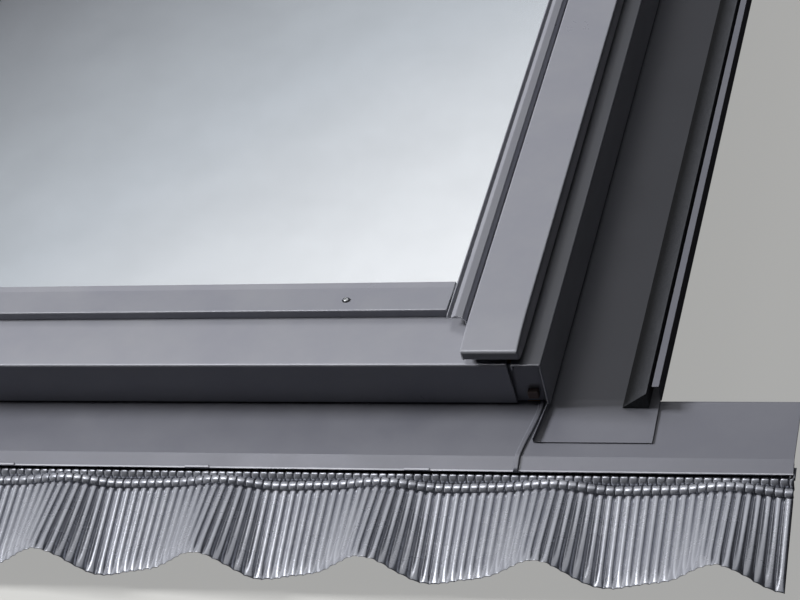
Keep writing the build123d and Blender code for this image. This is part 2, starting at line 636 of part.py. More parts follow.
def hinges():
    """Pivot hinges whose studs run in curved slots, so the sash turns about a line outside it."""
    plate_out = STILE_IN - PLATE_T + PLATE_PROUD
    plate_top = COVER_Z - SHEET - SEAT
    frame_plate = block(inward(plate_out + PLATE_T), inward(plate_out), -HINGE_HALF_L,
                        HINGE_HALF_L, HINGE_PLATE_Z, plate_top)
    sash_plate = block(inward(SASH_OUT), inward(SASH_OUT - SASH_PLATE_T), SASH_PLATE_Y0,
                       HINGE_HALF_L, HINGE_PLATE_Z, plate_top)
    studs = []
    for radius in (TRACK_R_OUT, TRACK_R_IN):
        frame_plate -= track(radius)
        y = radius * cos(radians(STUD_ANGLE))
        z = PIVOT_Z - radius * sin(radians(STUD_ANGLE))
        studs.append(facet_pin_x(inward(SASH_OUT - SASH_PLATE_T), inward(plate_out + SEAT), y, z,
                                 STUD_R))
    far_y, screw_z = HINGE_HALF_L - PLATE_SCREW_EDGE, HINGE_PLATE_Z + PLATE_SCREW_EDGE
    frame_screws = [facet_pin_x(inward(plate_out + PLATE_T), inward(plate_out), y, screw_z,
                                PLATE_SCREW_R) for y in (-far_y, far_y)]
    sash_screws = [facet_pin_x(inward(SASH_OUT), inward(SASH_OUT - SASH_PLATE_T), y, screw_z,
                               PLATE_SCREW_R) for y in (SASH_PLATE_Y0 + PLATE_SCREW_EDGE, far_y)]
    for screw in frame_screws:
        frame_plate -= screw
    for screw in sash_screws:
        sash_plate -= screw
    return {**both_sides("hinge_frame_plate", frame_plate),
            **both_sides("hinge_sash_plate", sash_plate), "hinge_studs": mirrored_set(studs),
            "frame_plate_screws": mirrored_set(frame_screws),
            "sash_plate_screws": mirrored_set(sash_screws)}


def barrel_bolt():
    """Bolt in the right sash stile, with one bush for the shut sash and one for the cleaning place."""
    tip = inward(SASH_OUT + BOLT_GAP)
    bolt = facet_pin_x(tip - BOLT_L, tip, BOLT_Y, BOLT_Z, BOLT_R)
    bolt += facet_pin_x(tip - BOLT_L - KNOB_L, tip - BOLT_L, BOLT_Y, BOLT_Z, KNOB_R)
    bushes = []
    for y, z in BOLT_PLACES:
        ends = (inward(STILE_IN), inward(STILE_IN - BUSH_D))
        bush = facet_pin_x(*ends, y, z, BUSH_R) - facet_pin_x(*ends, y, z, BOLT_R + BOLT_GAP)
        bushes.append(bush)
    return {"barrel_bolt": bolt, "bolt_bushes": Compound(bushes)}


def head_fittings():
    """Control bar, ventilation flap and latch at the head of the sash, standing unlatched."""
    pivot_y = HIGH_Y - BAR_FROM_HEAD
    x1 = inward(BAR_EDGE)
    bar_line = [(pivot_y, BAR_Z + BAR_W / 2), (pivot_y - BAR_D, BAR_Z),
                (pivot_y - BAR_D, BAR_Z - BAR_W), (pivot_y - BAR_D + BAR_T, BAR_Z - BAR_W),
                (pivot_y, BAR_Z - BAR_W / 2)]
    bar = along_x(polygon(bar_line), -x1, x1)
    bar += pin_x(-x1 - BAR_PIN_L, x1 + BAR_PIN_L, pivot_y, BAR_Z, BAR_PIN_R)
    bracket = block(x1 + BAR_GAP, x1 + BAR_GAP + BAR_ARM_T, pivot_y - BAR_W / 2,
                    pivot_y + BAR_W / 2, BAR_Z - BAR_W / 2, SASH_HEAD_BOTTOM)
    bracket -= pin_x(x1, x1 + BAR_PIN_L, pivot_y, BAR_Z, BAR_PIN_R + PIN_GAP)
    vent_y = HIGH_Y - VENT_FROM_HEAD
    flap_x = inward(VENT_EDGE) + FLAP_OVERLAP
    hinge_y = vent_y + VENT_W / 2 + FLAP_OVERLAP
    hinge_z = SASH_HEAD_BOTTOM - SEAT - FLAP_KNUCKLE_R
    flap = block(-flap_x, flap_x, vent_y - VENT_W / 2 - FLAP_OVERLAP, hinge_y,
                 hinge_z - FLAP_T / 2, hinge_z + FLAP_T / 2)
    flap += facet_pin_x(-flap_x, flap_x, hinge_y, hinge_z, FLAP_KNUCKLE_R)
    flap += pin_x(-flap_x - FLAP_PIN_L, flap_x + FLAP_PIN_L, hinge_y, hinge_z, FLAP_PIN_R)
    clip = block(flap_x + BAR_GAP, flap_x + FLAP_PIN_L, hinge_y - FLAP_CLIP_W / 2,
                 hinge_y + FLAP_CLIP_W / 2, hinge_z - FLAP_CLIP_W / 2, SASH_HEAD_BOTTOM)
    clip -= pin_x(flap_x, flap_x + 2 * FLAP_PIN_L, hinge_y, hinge_z, FLAP_PIN_R + PIN_GAP)
    tongue = block(-TONGUE_W / 2, TONGUE_W / 2, TONGUE_Y0, TONGUE_Y0 + TONGUE_L,
                   TONGUE_Z - TONGUE_T / 2, TONGUE_Z + TONGUE_T / 2)
    half_w, half_h = TONGUE_W / 2 + TONGUE_GAP, TONGUE_T / 2 + TONGUE_GAP
    margin_w, margin_h = half_w + STRIKER_MARGIN, half_h + STRIKER_MARGIN
    striker = block(-margin_w, margin_w, HEAD_RAIL_IN, HEAD_RAIL_IN + STRIKER_T,
                    TONGUE_Z - margin_h, TONGUE_Z + margin_h)
    striker -= block(-half_w, half_w, HEAD_RAIL_IN, HEAD_RAIL_IN + STRIKER_T, TONGUE_Z - half_h,
                     TONGUE_Z + half_h)
    return {"control_bar": turned(bar, pivot_y, BAR_Z, BAR_OPEN_DEG),
            "bar_brackets": mirrored_set([bracket]),
            "ventilation_flap": turned(flap, hinge_y, hinge_z, FLAP_OPEN_DEG),
            "flap_clips": mirrored_set([clip]), "latch_tongue": tongue, "striker_plate": striker}


def weather_seal():
    """Rubber strips on the frame's inner faces, broken at the hinges."""
    x1 = inward(STILE_IN)
    z1 = SILL_RAIL_H
    z0 = z1 - SEAL_H
    strips = [block(-x1, x1, HEAD_RAIL_IN - SEAL_T, HEAD_RAIL_IN, z0, z1),
              block(-x1 + SEAL_T, x1 - SEAL_T, SILL_RAIL_IN - SEAL_H, SILL_RAIL_IN - SHEET,
                    SILL_RAIL_H + SHEET, SILL_RAIL_H + SHEET + SEAL_H)]
    side_gap = HINGE_HALF_L + SEAL_PIVOT_GAP
    for y0, y1 in ((SILL_RAIL_IN + SEAL_H, -side_gap), (side_gap, HEAD_RAIL_IN - SEAL_T)):
        strip = block(x1 - SEAL_T, x1, y0, y1, z0, z1)
        strips += [strip, mirror(strip, Plane.YZ)]
    return {"weather_seal": Compound(strips)}


def mounting():
    """Four steel angles that carry the frame on the battens, each with a hole and a screw."""
    brackets, screws = [], []
    out_x = inward(STILE_INSET)
    for y in (-BRACKET_Y, BRACKET_Y):
        line = [(out_x, BRACKET_Z + BRACKET_H), (out_x, BRACKET_Z),
                (out_x + BRACKET_REACH, BRACKET_Z)]
        angle = along_y(polygon(mitre(line, BRACKET_T)), y - BRACKET_L / 2, y + BRACKET_L / 2)
        angle -= pin_z(inward(-BRACKET_HOLE_REACH), y, BRACKET_Z - BRACKET_T,
                       BRACKET_Z + 2 * BRACKET_T, BRACKET_HOLE_R)
        head = facet_pin_x(out_x + BRACKET_T, out_x + BRACKET_T + BRACKET_SCREW_H, y,
                           BRACKET_Z + BRACKET_SCREW_RISE, BRACKET_SCREW_R)
        brackets.append(angle)
        screws.append(head)
    return {"mounting_brackets": mirrored_set(brackets), "bracket_screws": mirrored_set(screws)}


def plate_z(y):
    """Height of the sill plate's upper face between the upstand and the crease."""
    slope = (CREASE_DROP - PLATE_DROP) / (LOW_Y - CREASE_DEPTH - SILL_UPSTAND_Y)
    return COVER_TOP - PLATE_DROP - slope * (y - SILL_UPSTAND_Y)


def plate_line():
    """Section of the sill plate from its fold at the frame over the crease to its edge."""
    return [(SILL_UPSTAND_Y, COVER_TOP - PLATE_DROP),
            (LOW_Y - CREASE_DEPTH, COVER_TOP - CREASE_DROP),
            (LOW_Y - HEM_DEPTH, COVER_TOP - HEM_DROP)]


def seam_prism(x_out):
    """Upright block from the folded seam's S line out to x_out."""
    top_x, bottom_x = inward(SEAM_TOP_IN), inward(SEAM_BOTTOM_IN)
    line = Spline((top_x, SILL_UPSTAND_Y + FLASH_T), (bottom_x, LOW_Y - HEM_DEPTH),
                  tangents=[(0, -1), (0, -1)])
    y0, y1 = LOW_Y - HEM_DEPTH, SILL_UPSTAND_Y + FLASH_T
    sides = Polyline((bottom_x, y0), (x_out, y0), (x_out, y1), (top_x, y1))
    return extrude(make_face([line, sides]), amount=COVER_TOP)


def sill_flashing():
    """Sill plate with crease and hem, corner pieces beside it and the S-shaped folded seams."""
    line = plate_line()
    reach = HALF_W + APRON_OVERHANG
    (ay, az), (by, bz) = line[1:]
    back_y, back_z = (ay - by) / hypot(by - ay, bz - az), (az - bz) / hypot(by - ay, bz - az)
    hem_line = [(by + back_y * HEM_BACK, bz + back_z * HEM_BACK), (by, bz)]
    clip_line = [(by + back_y * HEM_CLIP_BACK, bz + back_z * HEM_CLIP_BACK), (by, bz)]
    strip = along_x(polygon(mitre(line, FLASH_T)), 0, reach)
    strip += along_x(polygon(mitre(hem_line, 2 * FLASH_T)), 0, reach)
    outside = seam_prism(reach + SHEET)
    corner = strip & outside
    upstand_line = [(SILL_UPSTAND_Y, COVER_TOP - PLATE_DROP + SILL_UPSTAND_H), line[0]]
    half = strip - outside
    half += block(0, inward(SEAM_BOTTOM_IN), SILL_UPSTAND_Y, SILL_UPSTAND_Y + FLASH_T,
                  COVER_TOP - PLATE_DROP - FLASH_T, upstand_line[0][1])
    raised = along_x(polygon(mitre(line, -SEAM_T)), 0, reach)
    seam = raised & (outside - Location((SEAM_W, 0, 0)) * outside)
    clips = []
    for depth in HEM_CLIPS:
        x = inward(depth)
        clips.append(along_x(polygon(mitre(clip_line, -HEM_CLIP_T)), x - HEM_CLIP_W / 2,
                             x + HEM_CLIP_W / 2))
    return {"sill_flashing": half + mirror(half, Plane.YZ), **both_sides("sill_corner", corner),
            **both_sides("sill_seam", seam), "hem_clips": mirrored_set(clips)}


def gutters():
    """Side gutters with an upstand and a rim. Their lower ends lap over the corner pieces."""
    floor_z = COVER_TOP - GUTTER_DROP
    rim_x = HALF_W + GUTTER_W
    line = [(inward(UPSTAND_INSET), COVER_TOP - GUTTER_UPSTAND_TOP), (inward(UPSTAND_INSET), floor_z),
            (rim_x, floor_z), (rim_x, floor_z + GUTTER_RIM_H),
            (rim_x - GUTTER_RIM_FOLD, floor_z + GUTTER_RIM_H)]
    side = along_y(bent_sheet(line, -FLASH_T), SILL_UPSTAND_Y, HIGH_Y)
    end_y = LOW_Y - GUTTER_END
    end_z = plate_z(end_y) + GUTTER_END_GAP + FLASH_T
    slope = [(SILL_UPSTAND_Y, floor_z), (end_y, end_z)]
    top_x, end_x = inward(UPSTAND_INSET), inward(GUTTER_END_IN)
    plan = [(top_x, SILL_UPSTAND_Y), (end_x, end_y), (rim_x, end_y), (rim_x, SILL_UPSTAND_Y)]
    edge = [(top_x, SILL_UPSTAND_Y), (end_x, end_y), (end_x + FLASH_T, end_y),
            (top_x + FLASH_T, SILL_UPSTAND_Y)]
    floor = along_x(polygon(mitre(slope, FLASH_T)), end_x, rim_x)
    wall = along_x(polygon(mitre(slope, -GUTTER_EDGE_H)), end_x, rim_x)
    side += floor & extrude(polygon(plan), amount=COVER_TOP)
    side += wall & extrude(polygon(edge), amount=COVER_TOP)
    foam_x = rim_x - FOAM_GAP - FOAM_W
    foam = along_y(polygon([(foam_x, floor_z), (foam_x + FOAM_W, floor_z),
                            (foam_x + FOAM_W, floor_z + FOAM_H)]), LOW_Y, HIGH_Y)
    return {**both_sides("side_gutter", side), **both_sides("foam_strip", foam)}


def head_flashing():
    """Flashing above the frame: an upstand, a sloping apron plate and a folded upper edge."""
    z0 = COVER_TOP - GUTTER_DROP
    y1 = HIGH_Y + HOOD_BACK + HEAD_FLASH_L - FLASH_T
    line = [(HIGH_Y, z0), (y1, z0), (y1, z0 + GUTTER_RIM_H),
            (y1 - GUTTER_RIM_FOLD, z0 + GUTTER_RIM_H)]
    x1 = HALF_W + GUTTER_W
    upstand = block(-HALF_W, HALF_W, HIGH_Y, HIGH_Y + FLASH_T, z0, z0 + HEAD_UPSTAND_H)
    return {"head_flashing": along_x(bent_sheet(line, -FLASH_T), -x1, x1) + upstand}


def tile_wave(x):
    """Height of the roof tiles' wave: its crests are narrow and lean to the right."""
    turn = 2 * pi * (x - WAVE_CREST_X) / WAVE_PITCH
    return WAVE_H / 2 * (cos(turn) + WAVE_CREST_SHARE * cos(2 * turn) + WAVE_LEAN_SHARE * sin(2 * turn))


def apron_stations():
    """Path of the pleated apron: place, height, share of the tile wave, pleat height, normal.

    The teeth's pleats stand half a pitch from those of the beads, so their height is negative.
    """
    back_y = LOW_Y - APRON_BACK
    back_z = plate_z(back_y) - FLASH_T - SEAT - PLEAT_H / 2
    teeth_y, teeth_z = LOW_Y - TEETH_DEPTH, COVER_TOP - TEETH_DROP
    roll_y, roll_z = LOW_Y - ROLL_DEPTH, COVER_TOP - ROLL_DROP
    foot_normal = (-sin(radians(ROLL_FOOT_DEG)), cos(radians(ROLL_FOOT_DEG)))
    return [
        (back_y, back_z, 0, -PLEAT_H, (0, 1)),
        (teeth_y, teeth_z, 0, -PLEAT_H, (0, 1)),
        ((teeth_y + roll_y) / 2, COVER_TOP - GROOVE_DROP, ROLL_WAVE / 2, GROOVE_PLEAT_H, (0, 1)),
        (roll_y, roll_z + ROLL_R, ROLL_WAVE, PLEAT_H, (0, 1)),
        (roll_y - ROLL_R, roll_z - ROLL_R / 2, ROLL_WAVE, PLEAT_H, foot_normal),
        (LOW_Y - APRON_EDGE, COVER_TOP - APRON_EDGE_DROP, 1, EDGE_PLEAT_H, (0, 1)),
    ]


def apron_row(station, columns, under=False):
    """Points across the apron at one station: on its folds, or below them along its under side."""
    y, z, share, height, (ny, nz) = station
    points = []
    for x, fold in columns:
        off = -abs(height) / 2 - APRON_T if under else fold * height / 2
        points.append((x, y + ny * off, z + nz * off + share * tile_wave(x)))
    return points


def flat_pieces(a, b, c, d):
    """Faces over four points: one if they lie in a plane, else two triangles."""
    corner = Vector(*a)
    normal = (Vector(*b) - corner).cross(Vector(*c) - corner)
    if abs(normal.normalized().dot(Vector(*d) - corner)) < 1e-6:
        return [Face(Wire.make_polygon([a, b, c, d]))]
    return [Face(Wire.make_polygon([a, b, c])), Face(Wire.make_polygon([a, c, d]))]


def pleated_apron():
    """Pleated sheet: teeth under the plate, beads over the roll, pleats down to the edge.

    Its under side is hidden and has one panel for each few pleats.
    """
    width = FRAME_W + 2 * APRON_OVERHANG
    panels = round(width / PLEAT_PITCH / PANEL_PLEATS)
    count = panels * PANEL_PLEATS
    pitch = width / count
    folds = [((column - count) * pitch / 2, 1 if column % 2 else -1)
             for column in range(2 * count + 1)]
    stations = apron_stations()
    upper = [apron_row(station, folds) for station in stations]
    lower = [apron_row(station, folds[::2 * PANEL_PLEATS], under=True) for station in stations]
    faces = []
    for rows in (upper, lower):
        for first, second in zip(rows, rows[1:]):
            for i in range(len(first) - 1):
                faces += flat_pieces(first[i], first[i + 1], second[i + 1], second[i])
    for row in (0, -1):
        for panel in range(panels):
            top = upper[row][2 * PANEL_PLEATS * panel:2 * PANEL_PLEATS * (panel + 1) + 1]
            outline = top + lower[row][panel:panel + 2][::-1]
            faces.append(Face(Wire.make_polygon(outline)))
    for end in (0, -1):
        for row in range(len(upper) - 1):
            faces += flat_pieces(upper[row][end], upper[row + 1][end], lower[row + 1][end],
                                 lower[row][end])
    return {"pleated_apron": Solid(Shell(faces))}


def build():
    """Every piece of the window by the name of its node."""
    groups = [frame_timber, sash_timber, glazing, beads, sash_sill_cover, side_covers,
              frame_covers, hood, hinges, barrel_bolt, head_fittings, weather_seal, mounting,
              sill_flashing, gutters, head_flashing, pleated_apron]
    pieces = {}
    for group in groups:
        pieces.update(group())
    return pieces


os.makedirs("parts", exist_ok=True)
for name, piece in build().items():
    centred = Location((0, -CENTRE_Y, 0)) * piece
    export_step(centred, f"parts/{name}.step")
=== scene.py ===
# %% [markdown]
# # A roof window, dressed for its picture
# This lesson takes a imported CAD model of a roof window, seen from outside at its lower right
# corner, and gives it the finishes of the real one. The CAD gives every size. Here come the camera,
# the light, the materials and the pieces whose looks depend on soft curves: above all the pleated
# apron of thin aluminium along its lower edge.

# %% Load the frame
import math
import random
import bpy
from mathutils import Matrix, Vector


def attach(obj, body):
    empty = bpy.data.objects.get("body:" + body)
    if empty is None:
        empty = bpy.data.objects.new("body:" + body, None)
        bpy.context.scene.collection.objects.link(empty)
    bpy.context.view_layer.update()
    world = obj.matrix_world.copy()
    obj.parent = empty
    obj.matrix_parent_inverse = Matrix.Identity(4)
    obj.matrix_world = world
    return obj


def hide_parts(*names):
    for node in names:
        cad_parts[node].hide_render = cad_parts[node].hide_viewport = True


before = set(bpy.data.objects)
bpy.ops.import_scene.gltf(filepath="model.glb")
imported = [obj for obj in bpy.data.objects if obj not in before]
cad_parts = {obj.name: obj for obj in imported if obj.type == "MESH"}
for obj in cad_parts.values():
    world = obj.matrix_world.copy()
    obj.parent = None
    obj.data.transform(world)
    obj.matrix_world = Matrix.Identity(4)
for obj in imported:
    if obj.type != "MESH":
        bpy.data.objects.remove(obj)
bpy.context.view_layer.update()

# %% [markdown]
# A picture can only be matched when the camera is where the photographer stood. The place and the
# turn below come from a fit: straight edges of the window, whose sizes are known from the CAD, were
# laid over the same edges in the picture. The lens is a short telephoto one, about 113 mm on a full
# frame sensor, and there is no shift. The image is taken to be 800 by 600.

# %% Camera
MM = 0.001
camera = bpy.data.objects.new("camera", bpy.data.cameras.new("camera"))
bpy.context.scene.collection.objects.link(camera)
camera.data.lens = 112.74
camera.data.sensor_width = 36.0
camera.data.clip_start = 0.05
camera.data.clip_end = 60.0
right = Vector((0.94806575, 0.23083617, -0.21882867))
up = Vector((0.00937177, 0.66740836, 0.74463297))
back = Vector((0.31793631, -0.70801182, 0.63058366))
turn = Matrix((right, up, back)).transposed().to_4x4()
camera.matrix_world = Matrix.Translation(Vector((926.0, -2016.46, 1453.84)) * MM) @ turn
bpy.context.scene.camera = camera
print("camera at", [round(v, 3) for v in camera.location], "lens", camera.data.lens)

# %% [markdown]
# Blender's colours are linear, while a colour picked from a screen is sRGB. One function turns the
# familiar hex code into linear numbers, so that every colour below can be read and compared.
# A second one adds a shader node together with its settings and its links. All the materials, and
# the world too, are built with these two.

# %% Colour and node helpers


def colour(code):
    """Linear RGBA of an sRGB hex code."""
    parts = [int(code[i:i + 2], 16) / 255 for i in (1, 3, 5)]
    return [p / 12.92 if p <= 0.04045 else ((p + 0.055) / 1.055) ** 2.4 for p in parts] + [1.0]


def add(tree, kind, sockets=None, stops=None, **settings):
    """Add a node. A socket takes a plain value, a hex code, or another node's output.

    A colour ramp also takes its stops, as pairs of place and hex code in rising order.
    """
    made = tree.nodes.new(kind)
    for name, value in settings.items():
        setattr(made, name, value)
    for name, value in (sockets or {}).items():
        if isinstance(value, bpy.types.NodeSocket):
            tree.links.new(value, made.inputs[name])
        else:
            made.inputs[name].default_value = colour(value) if isinstance(value, str) else value
    for index, (place, code) in enumerate(stops or []):
        ends = made.color_ramp.elements
        stop = ends[index] if index < 2 else ends.new(place)
        stop.position, stop.color = place, colour(code)
    return made


def finish(name):
    """A new empty material and its node tree."""
    material = bpy.data.materials.new(name)
    material.use_nodes = True
    material.node_tree.nodes.clear()
    return material, material.node_tree


print("white", colour("#FFFFFF"), "mid grey", [round(v, 3) for v in colour("#808080")])

# %% [markdown]
# Outdoors a roof window is lit by the whole sky, and its satin metal shows the sky more than its
# own colour: faces that look up are pale, faces that look down or to the front are nearly black.
# The brightest part of the sky stands over the window, and it fades towards the horizon. That
# fading is what the glass shows, from dark at its far left corner to pale at its near right one. A
# gradient in the world that depends on direction alone does all this for every view. The world is
# bright where it is seen, mirrored or looked at through glass, and dim as a light, so that the key
# lamp draws the shadows. That lamp only lights, and no shiny face shows it, while the top lamp only
# gives gloss. In a mix node the sockets 6 and 7 are its two colours.

# %% World and lamps
world = bpy.data.worlds.new("soft_sky")
bpy.context.scene.world = world
world.use_nodes = True
tree = world.node_tree
tree.nodes.clear()
SKY_AXIS = (0.0, 0.30, 0.954)
where = add(tree, "ShaderNodeTexCoord")
toward = add(tree, "ShaderNodeVectorMath", {0: where.outputs["Generated"], 1: SKY_AXIS},
             operation="DOT_PRODUCT")
sky = add(tree, "ShaderNodeValToRGB", {"Fac": toward.outputs["Value"]},
          [(0.0, "#3A3C40"), (0.4, "#484A50"), (0.6, "#55575D"), (0.69, "#6A6C71"),
           (0.757, "#C0C5CB"), (0.82, "#FCFDFF"), (1.0, "#FFFFFF")])
ray = add(tree, "ShaderNodeLightPath")
shown = add(tree, "ShaderNodeMix", {0: ray.outputs["Is Camera Ray"], 6: sky.outputs["Color"],
                                    7: "#E4E4E2"}, data_type="RGBA")
seen = add(tree, "ShaderNodeMath",
           {0: ray.outputs["Is Camera Ray"], 1: ray.outputs["Is Glossy Ray"]}, operation="MAXIMUM")
bright = add(tree, "ShaderNodeMath",
             {0: seen.outputs[0], 1: ray.outputs["Is Transmission Ray"]}, operation="MAXIMUM")
level = add(tree, "ShaderNodeMapRange", {"Value": bright.outputs[0], "To Min": 0.12,
                                         "To Max": 1.15})
glow = add(tree, "ShaderNodeBackground", {"Color": shown.outputs[2],
                                          "Strength": level.outputs["Result"]})
add(tree, "ShaderNodeOutputWorld", {"Surface": glow.outputs[0]})


def lamp(name, place, aim, size, power, gloss):
    """A large square lamp. It either lights the faces, or is only mirrored as gloss on them."""
    made = bpy.data.objects.new(name, bpy.data.lights.new(name, "AREA"))
    made.data.size = size
    made.data.energy = power
    made.location = place
    made.rotation_euler = (Vector(aim) - Vector(place)).to_track_quat("-Z", "Y").to_euler()
    made.visible_glossy = gloss
    made.visible_diffuse = not gloss
    made.visible_transmission = False
    bpy.context.scene.collection.objects.link(made)


lamp("key", (-6.7, -0.2, 4.3), (0.0, -0.3, 0.0), 1.8, 1870, False)
lamp("top", (-0.95, -0.85, 2.9), (0.0, -0.6, 0.0), 1.3, 40, True)

# %% [markdown]
# The floor is plain studio paper. The camera sees it pale. To the lamp and to the metal it is
# dark, because outdoors a roof window's fronts mirror dark surroundings and look nearly black. It
# isn't part of the window.

# %% Floor
paper, tree = finish("pale_studio_paper")
ray = add(tree, "ShaderNodeLightPath")
tone = add(tree, "ShaderNodeMix", {0: ray.outputs["Is Camera Ray"], 6: "#302E2E", 7: "#747472"},
           data_type="RGBA")
lift = add(tree, "ShaderNodeMath", {0: ray.outputs["Is Camera Ray"], 1: 0.43}, operation="MULTIPLY")
shader = add(tree, "ShaderNodeBsdfPrincipled",
             {"Base Color": tone.outputs[2], "Roughness": 0.9, "Emission Color": "#F2F2F0",
              "Emission Strength": lift.outputs[0]})
add(tree, "ShaderNodeOutputMaterial", {"Surface": shader.outputs[0]})
floor_mesh = bpy.data.meshes.new("studio_floor")
floor_mesh.from_pydata([(-9, -9, 0), (9, -9, 0), (9, 9, 0), (-9, 9, 0)], [], [(0, 1, 2, 3)])
floor_mesh.materials.append(paper)
studio_floor = bpy.data.objects.new("studio_floor", floor_mesh)
studio_floor.location.z = -0.0005
bpy.context.scene.collection.objects.link(studio_floor)
print("floor", paper.name)

# %% [markdown]
# The covers are roll-formed aluminium with a baked polyester lacquer, in a mid grey. Such a
# lacquer is satin: it blurs the sky but still mirrors its brightness, which a part-metallic
# shader gives. Up close it has a fine orange peel, waves about 1.5 mm across, and rain leaves
# faint dusty patches that are a few centimetres wide. The flashing is painted coil, flatter and
# less metallic, so it keeps an even grey right up to the frame. The apron is soft aluminium whose
# thin paint shines most on its ridges, where the press has stretched it. The sill plate's lower
# edge is folded back on itself, and the light that this edge catches is painted on: a painted
# highlight, a pale band about 1 mm wide along the plate's lowest edge.

# %% Lacquered aluminium


def lacquer(name, code, dust, roughness, metallic, peel_mm=1.5, mark_mm=60):
    """Baked lacquer on aluminium sheet, with orange peel and faint rain marks."""
    material, tree = finish(name)
    place = add(tree, "ShaderNodeTexCoord").outputs["Object"]
    peel = add(tree, "ShaderNodeTexNoise", {"Vector": place, "Scale": 1 / (peel_mm * MM),
                                            "Detail": 2.0})
    marks = add(tree, "ShaderNodeTexNoise", {"Vector": place, "Scale": 1 / (mark_mm * MM),
                                             "Detail": 6.0, "Roughness": 0.62})
    tone = add(tree, "ShaderNodeValToRGB", {"Fac": marks.outputs["Fac"]},
               [(0.38, code), (0.75, dust)])
    rough = add(tree, "ShaderNodeMapRange", {"Value": marks.outputs["Fac"], "From Min": 0.3,
                                             "From Max": 0.7, "To Min": roughness - 0.05,
                                             "To Max": roughness + 0.06})
    relief = add(tree, "ShaderNodeBump", {"Height": peel.outputs["Fac"], "Distance": 0.006 * MM})
    shader = add(tree, "ShaderNodeBsdfPrincipled",
                 {"Base Color": tone.outputs["Color"], "Roughness": rough.outputs["Result"],
                  "Metallic": metallic, "Normal": relief.outputs["Normal"]})
    add(tree, "ShaderNodeOutputMaterial", {"Surface": shader.outputs[0]})
    return material


cover_lacquer = lacquer("polyester_lacquered_aluminium", "#7C7D85", "#83848A", 0.32, 0.26)
flashing_lacquer = lacquer("coil_painted_aluminium", "#5B5C64", "#62636A", 0.42, 0.2)
apron_lacquer = lacquer("pleated_soft_aluminium", "#989AA2", "#A2A4AB", 0.26, 0.6, 1.8, 25)
bare_edge = lacquer("cut_aluminium_edge", "#C6C7CA", "#B4B5B9", 0.3, 0.9, 0.6, 12)
sill_lacquer = lacquer("coil_painted_aluminium_with_painted_hem_highlight", "#5B5C64", "#62636A", 0.42, 0.2)
tree = sill_lacquer.node_tree
base = next(node for node in tree.nodes if node.type == "BSDF_PRINCIPLED").inputs["Base Color"]
hem_y = min(vertex.co.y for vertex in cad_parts["sill_flashing"].data.vertices)
apart = add(tree, "ShaderNodeSeparateXYZ", {0: add(tree, "ShaderNodeTexCoord").outputs["Object"]})
# Painted highlight: wherever this material lies within about 1 mm of the plate's lowest edge, its
# colour turns to a paler grey, #93949B, for the light that the folded edge catches.
hem_highlight_mask = add(tree, "ShaderNodeMapRange", {"Value": apart.outputs["Y"], "From Min": hem_y + 1.2 * MM,
                                        "From Max": hem_y + 0.9 * MM})
pale = add(tree, "ShaderNodeMix", {0: hem_highlight_mask.outputs["Result"], 6: base.links[0].from_socket,
                                   7: "#93949B"}, data_type="RGBA")
tree.links.new(pale.outputs[2], base)
print("hem edge at y", round(hem_y / MM, 2), "mm")
print("lacquers", cover_lacquer.name, flashing_lacquer.name, apron_lacquer.name, bare_edge.name)

# %% [markdown]
# The frame and sash are laminated pine under a clear lacquer. Pine shows straight growth rings as
# lines 2 to 4 mm apart along each piece, paler early wood between darker late wood. The pattern
# is drawn with a wave that is stretched along the grain, so the stiles and the rails, which run
# across each other, get one material each.

# %% Laminated pine


def pine(name, grain_axis):
    """Clear-lacquered laminated pine whose grain runs along X (0) or Y (1)."""
    material, tree = finish(name)
    place = add(tree, "ShaderNodeTexCoord").outputs["Object"]
    stretch = [1.0, 1.0, 1.0]
    stretch[grain_axis] = 0.035
    grain = add(tree, "ShaderNodeMapping", {"Vector": place, "Scale": stretch}).outputs["Vector"]
    wander = add(tree, "ShaderNodeTexNoise", {"Vector": grain, "Scale": 1 / (28 * MM),
                                              "Detail": 3.0})
    shift = add(tree, "ShaderNodeVectorMath", {0: wander.outputs["Color"], "Scale": 9 * MM},
                operation="SCALE")
    bent = add(tree, "ShaderNodeVectorMath", {0: grain, 1: shift.outputs["Vector"]},
               operation="ADD")
    rings = add(tree, "ShaderNodeTexWave",
                {"Vector": bent.outputs["Vector"], "Scale": 1 / (20 * MM), "Distortion": 1.2,
                 "Detail": 2.0}, wave_type="BANDS", bands_direction="DIAGONAL")
    fibre = add(tree, "ShaderNodeTexNoise", {"Vector": grain, "Scale": 1 / (0.9 * MM),
                                             "Detail": 4.0})
    wood = add(tree, "ShaderNodeMath", {0: rings.outputs["Fac"], 1: fibre.outputs["Fac"]},
               operation="MULTIPLY")
    tone = add(tree, "ShaderNodeValToRGB", {"Fac": wood.outputs[0]},
               [(0.0, "#C09C6A"), (0.3, "#B68F5C"), (0.62, "#A17346"), (1.0, "#88572E")])
    rough = add(tree, "ShaderNodeMapRange", {"Value": fibre.outputs["Fac"], "To Min": 0.36,
                                             "To Max": 0.48})
    relief = add(tree, "ShaderNodeBump", {"Height": wood.outputs[0], "Distance": 0.06 * MM})
    shader = add(tree, "ShaderNodeBsdfPrincipled",
                 {"Base Color": tone.outputs["Color"], "Roughness": rough.outputs["Result"],
                  "IOR": 1.48, "Coat Weight": 0.35, "Coat Roughness": 0.22,
                  "Normal": relief.outputs["Normal"]})
    add(tree, "ShaderNodeOutputMaterial", {"Surface": shader.outputs[0]})
    return material


pine_across, pine_along = pine("laminated_pine_across", 0), pine("laminated_pine_along", 1)
print("pine", pine_across.name, pine_along.name)

# %% [markdown]
# Roof glass is float glass, 4 mm thick, with a thin metal-oxide coat against the sun. The coat
# makes it mirror far more of the sky than bare glass does, so from outside it looks like a pale
# sheet.
# The shader is glass whose metallic share stands for the coat. The inner pane is bare float glass.
# Both are very slightly wavy, as toughened glass is, and carry a faint film of dust.

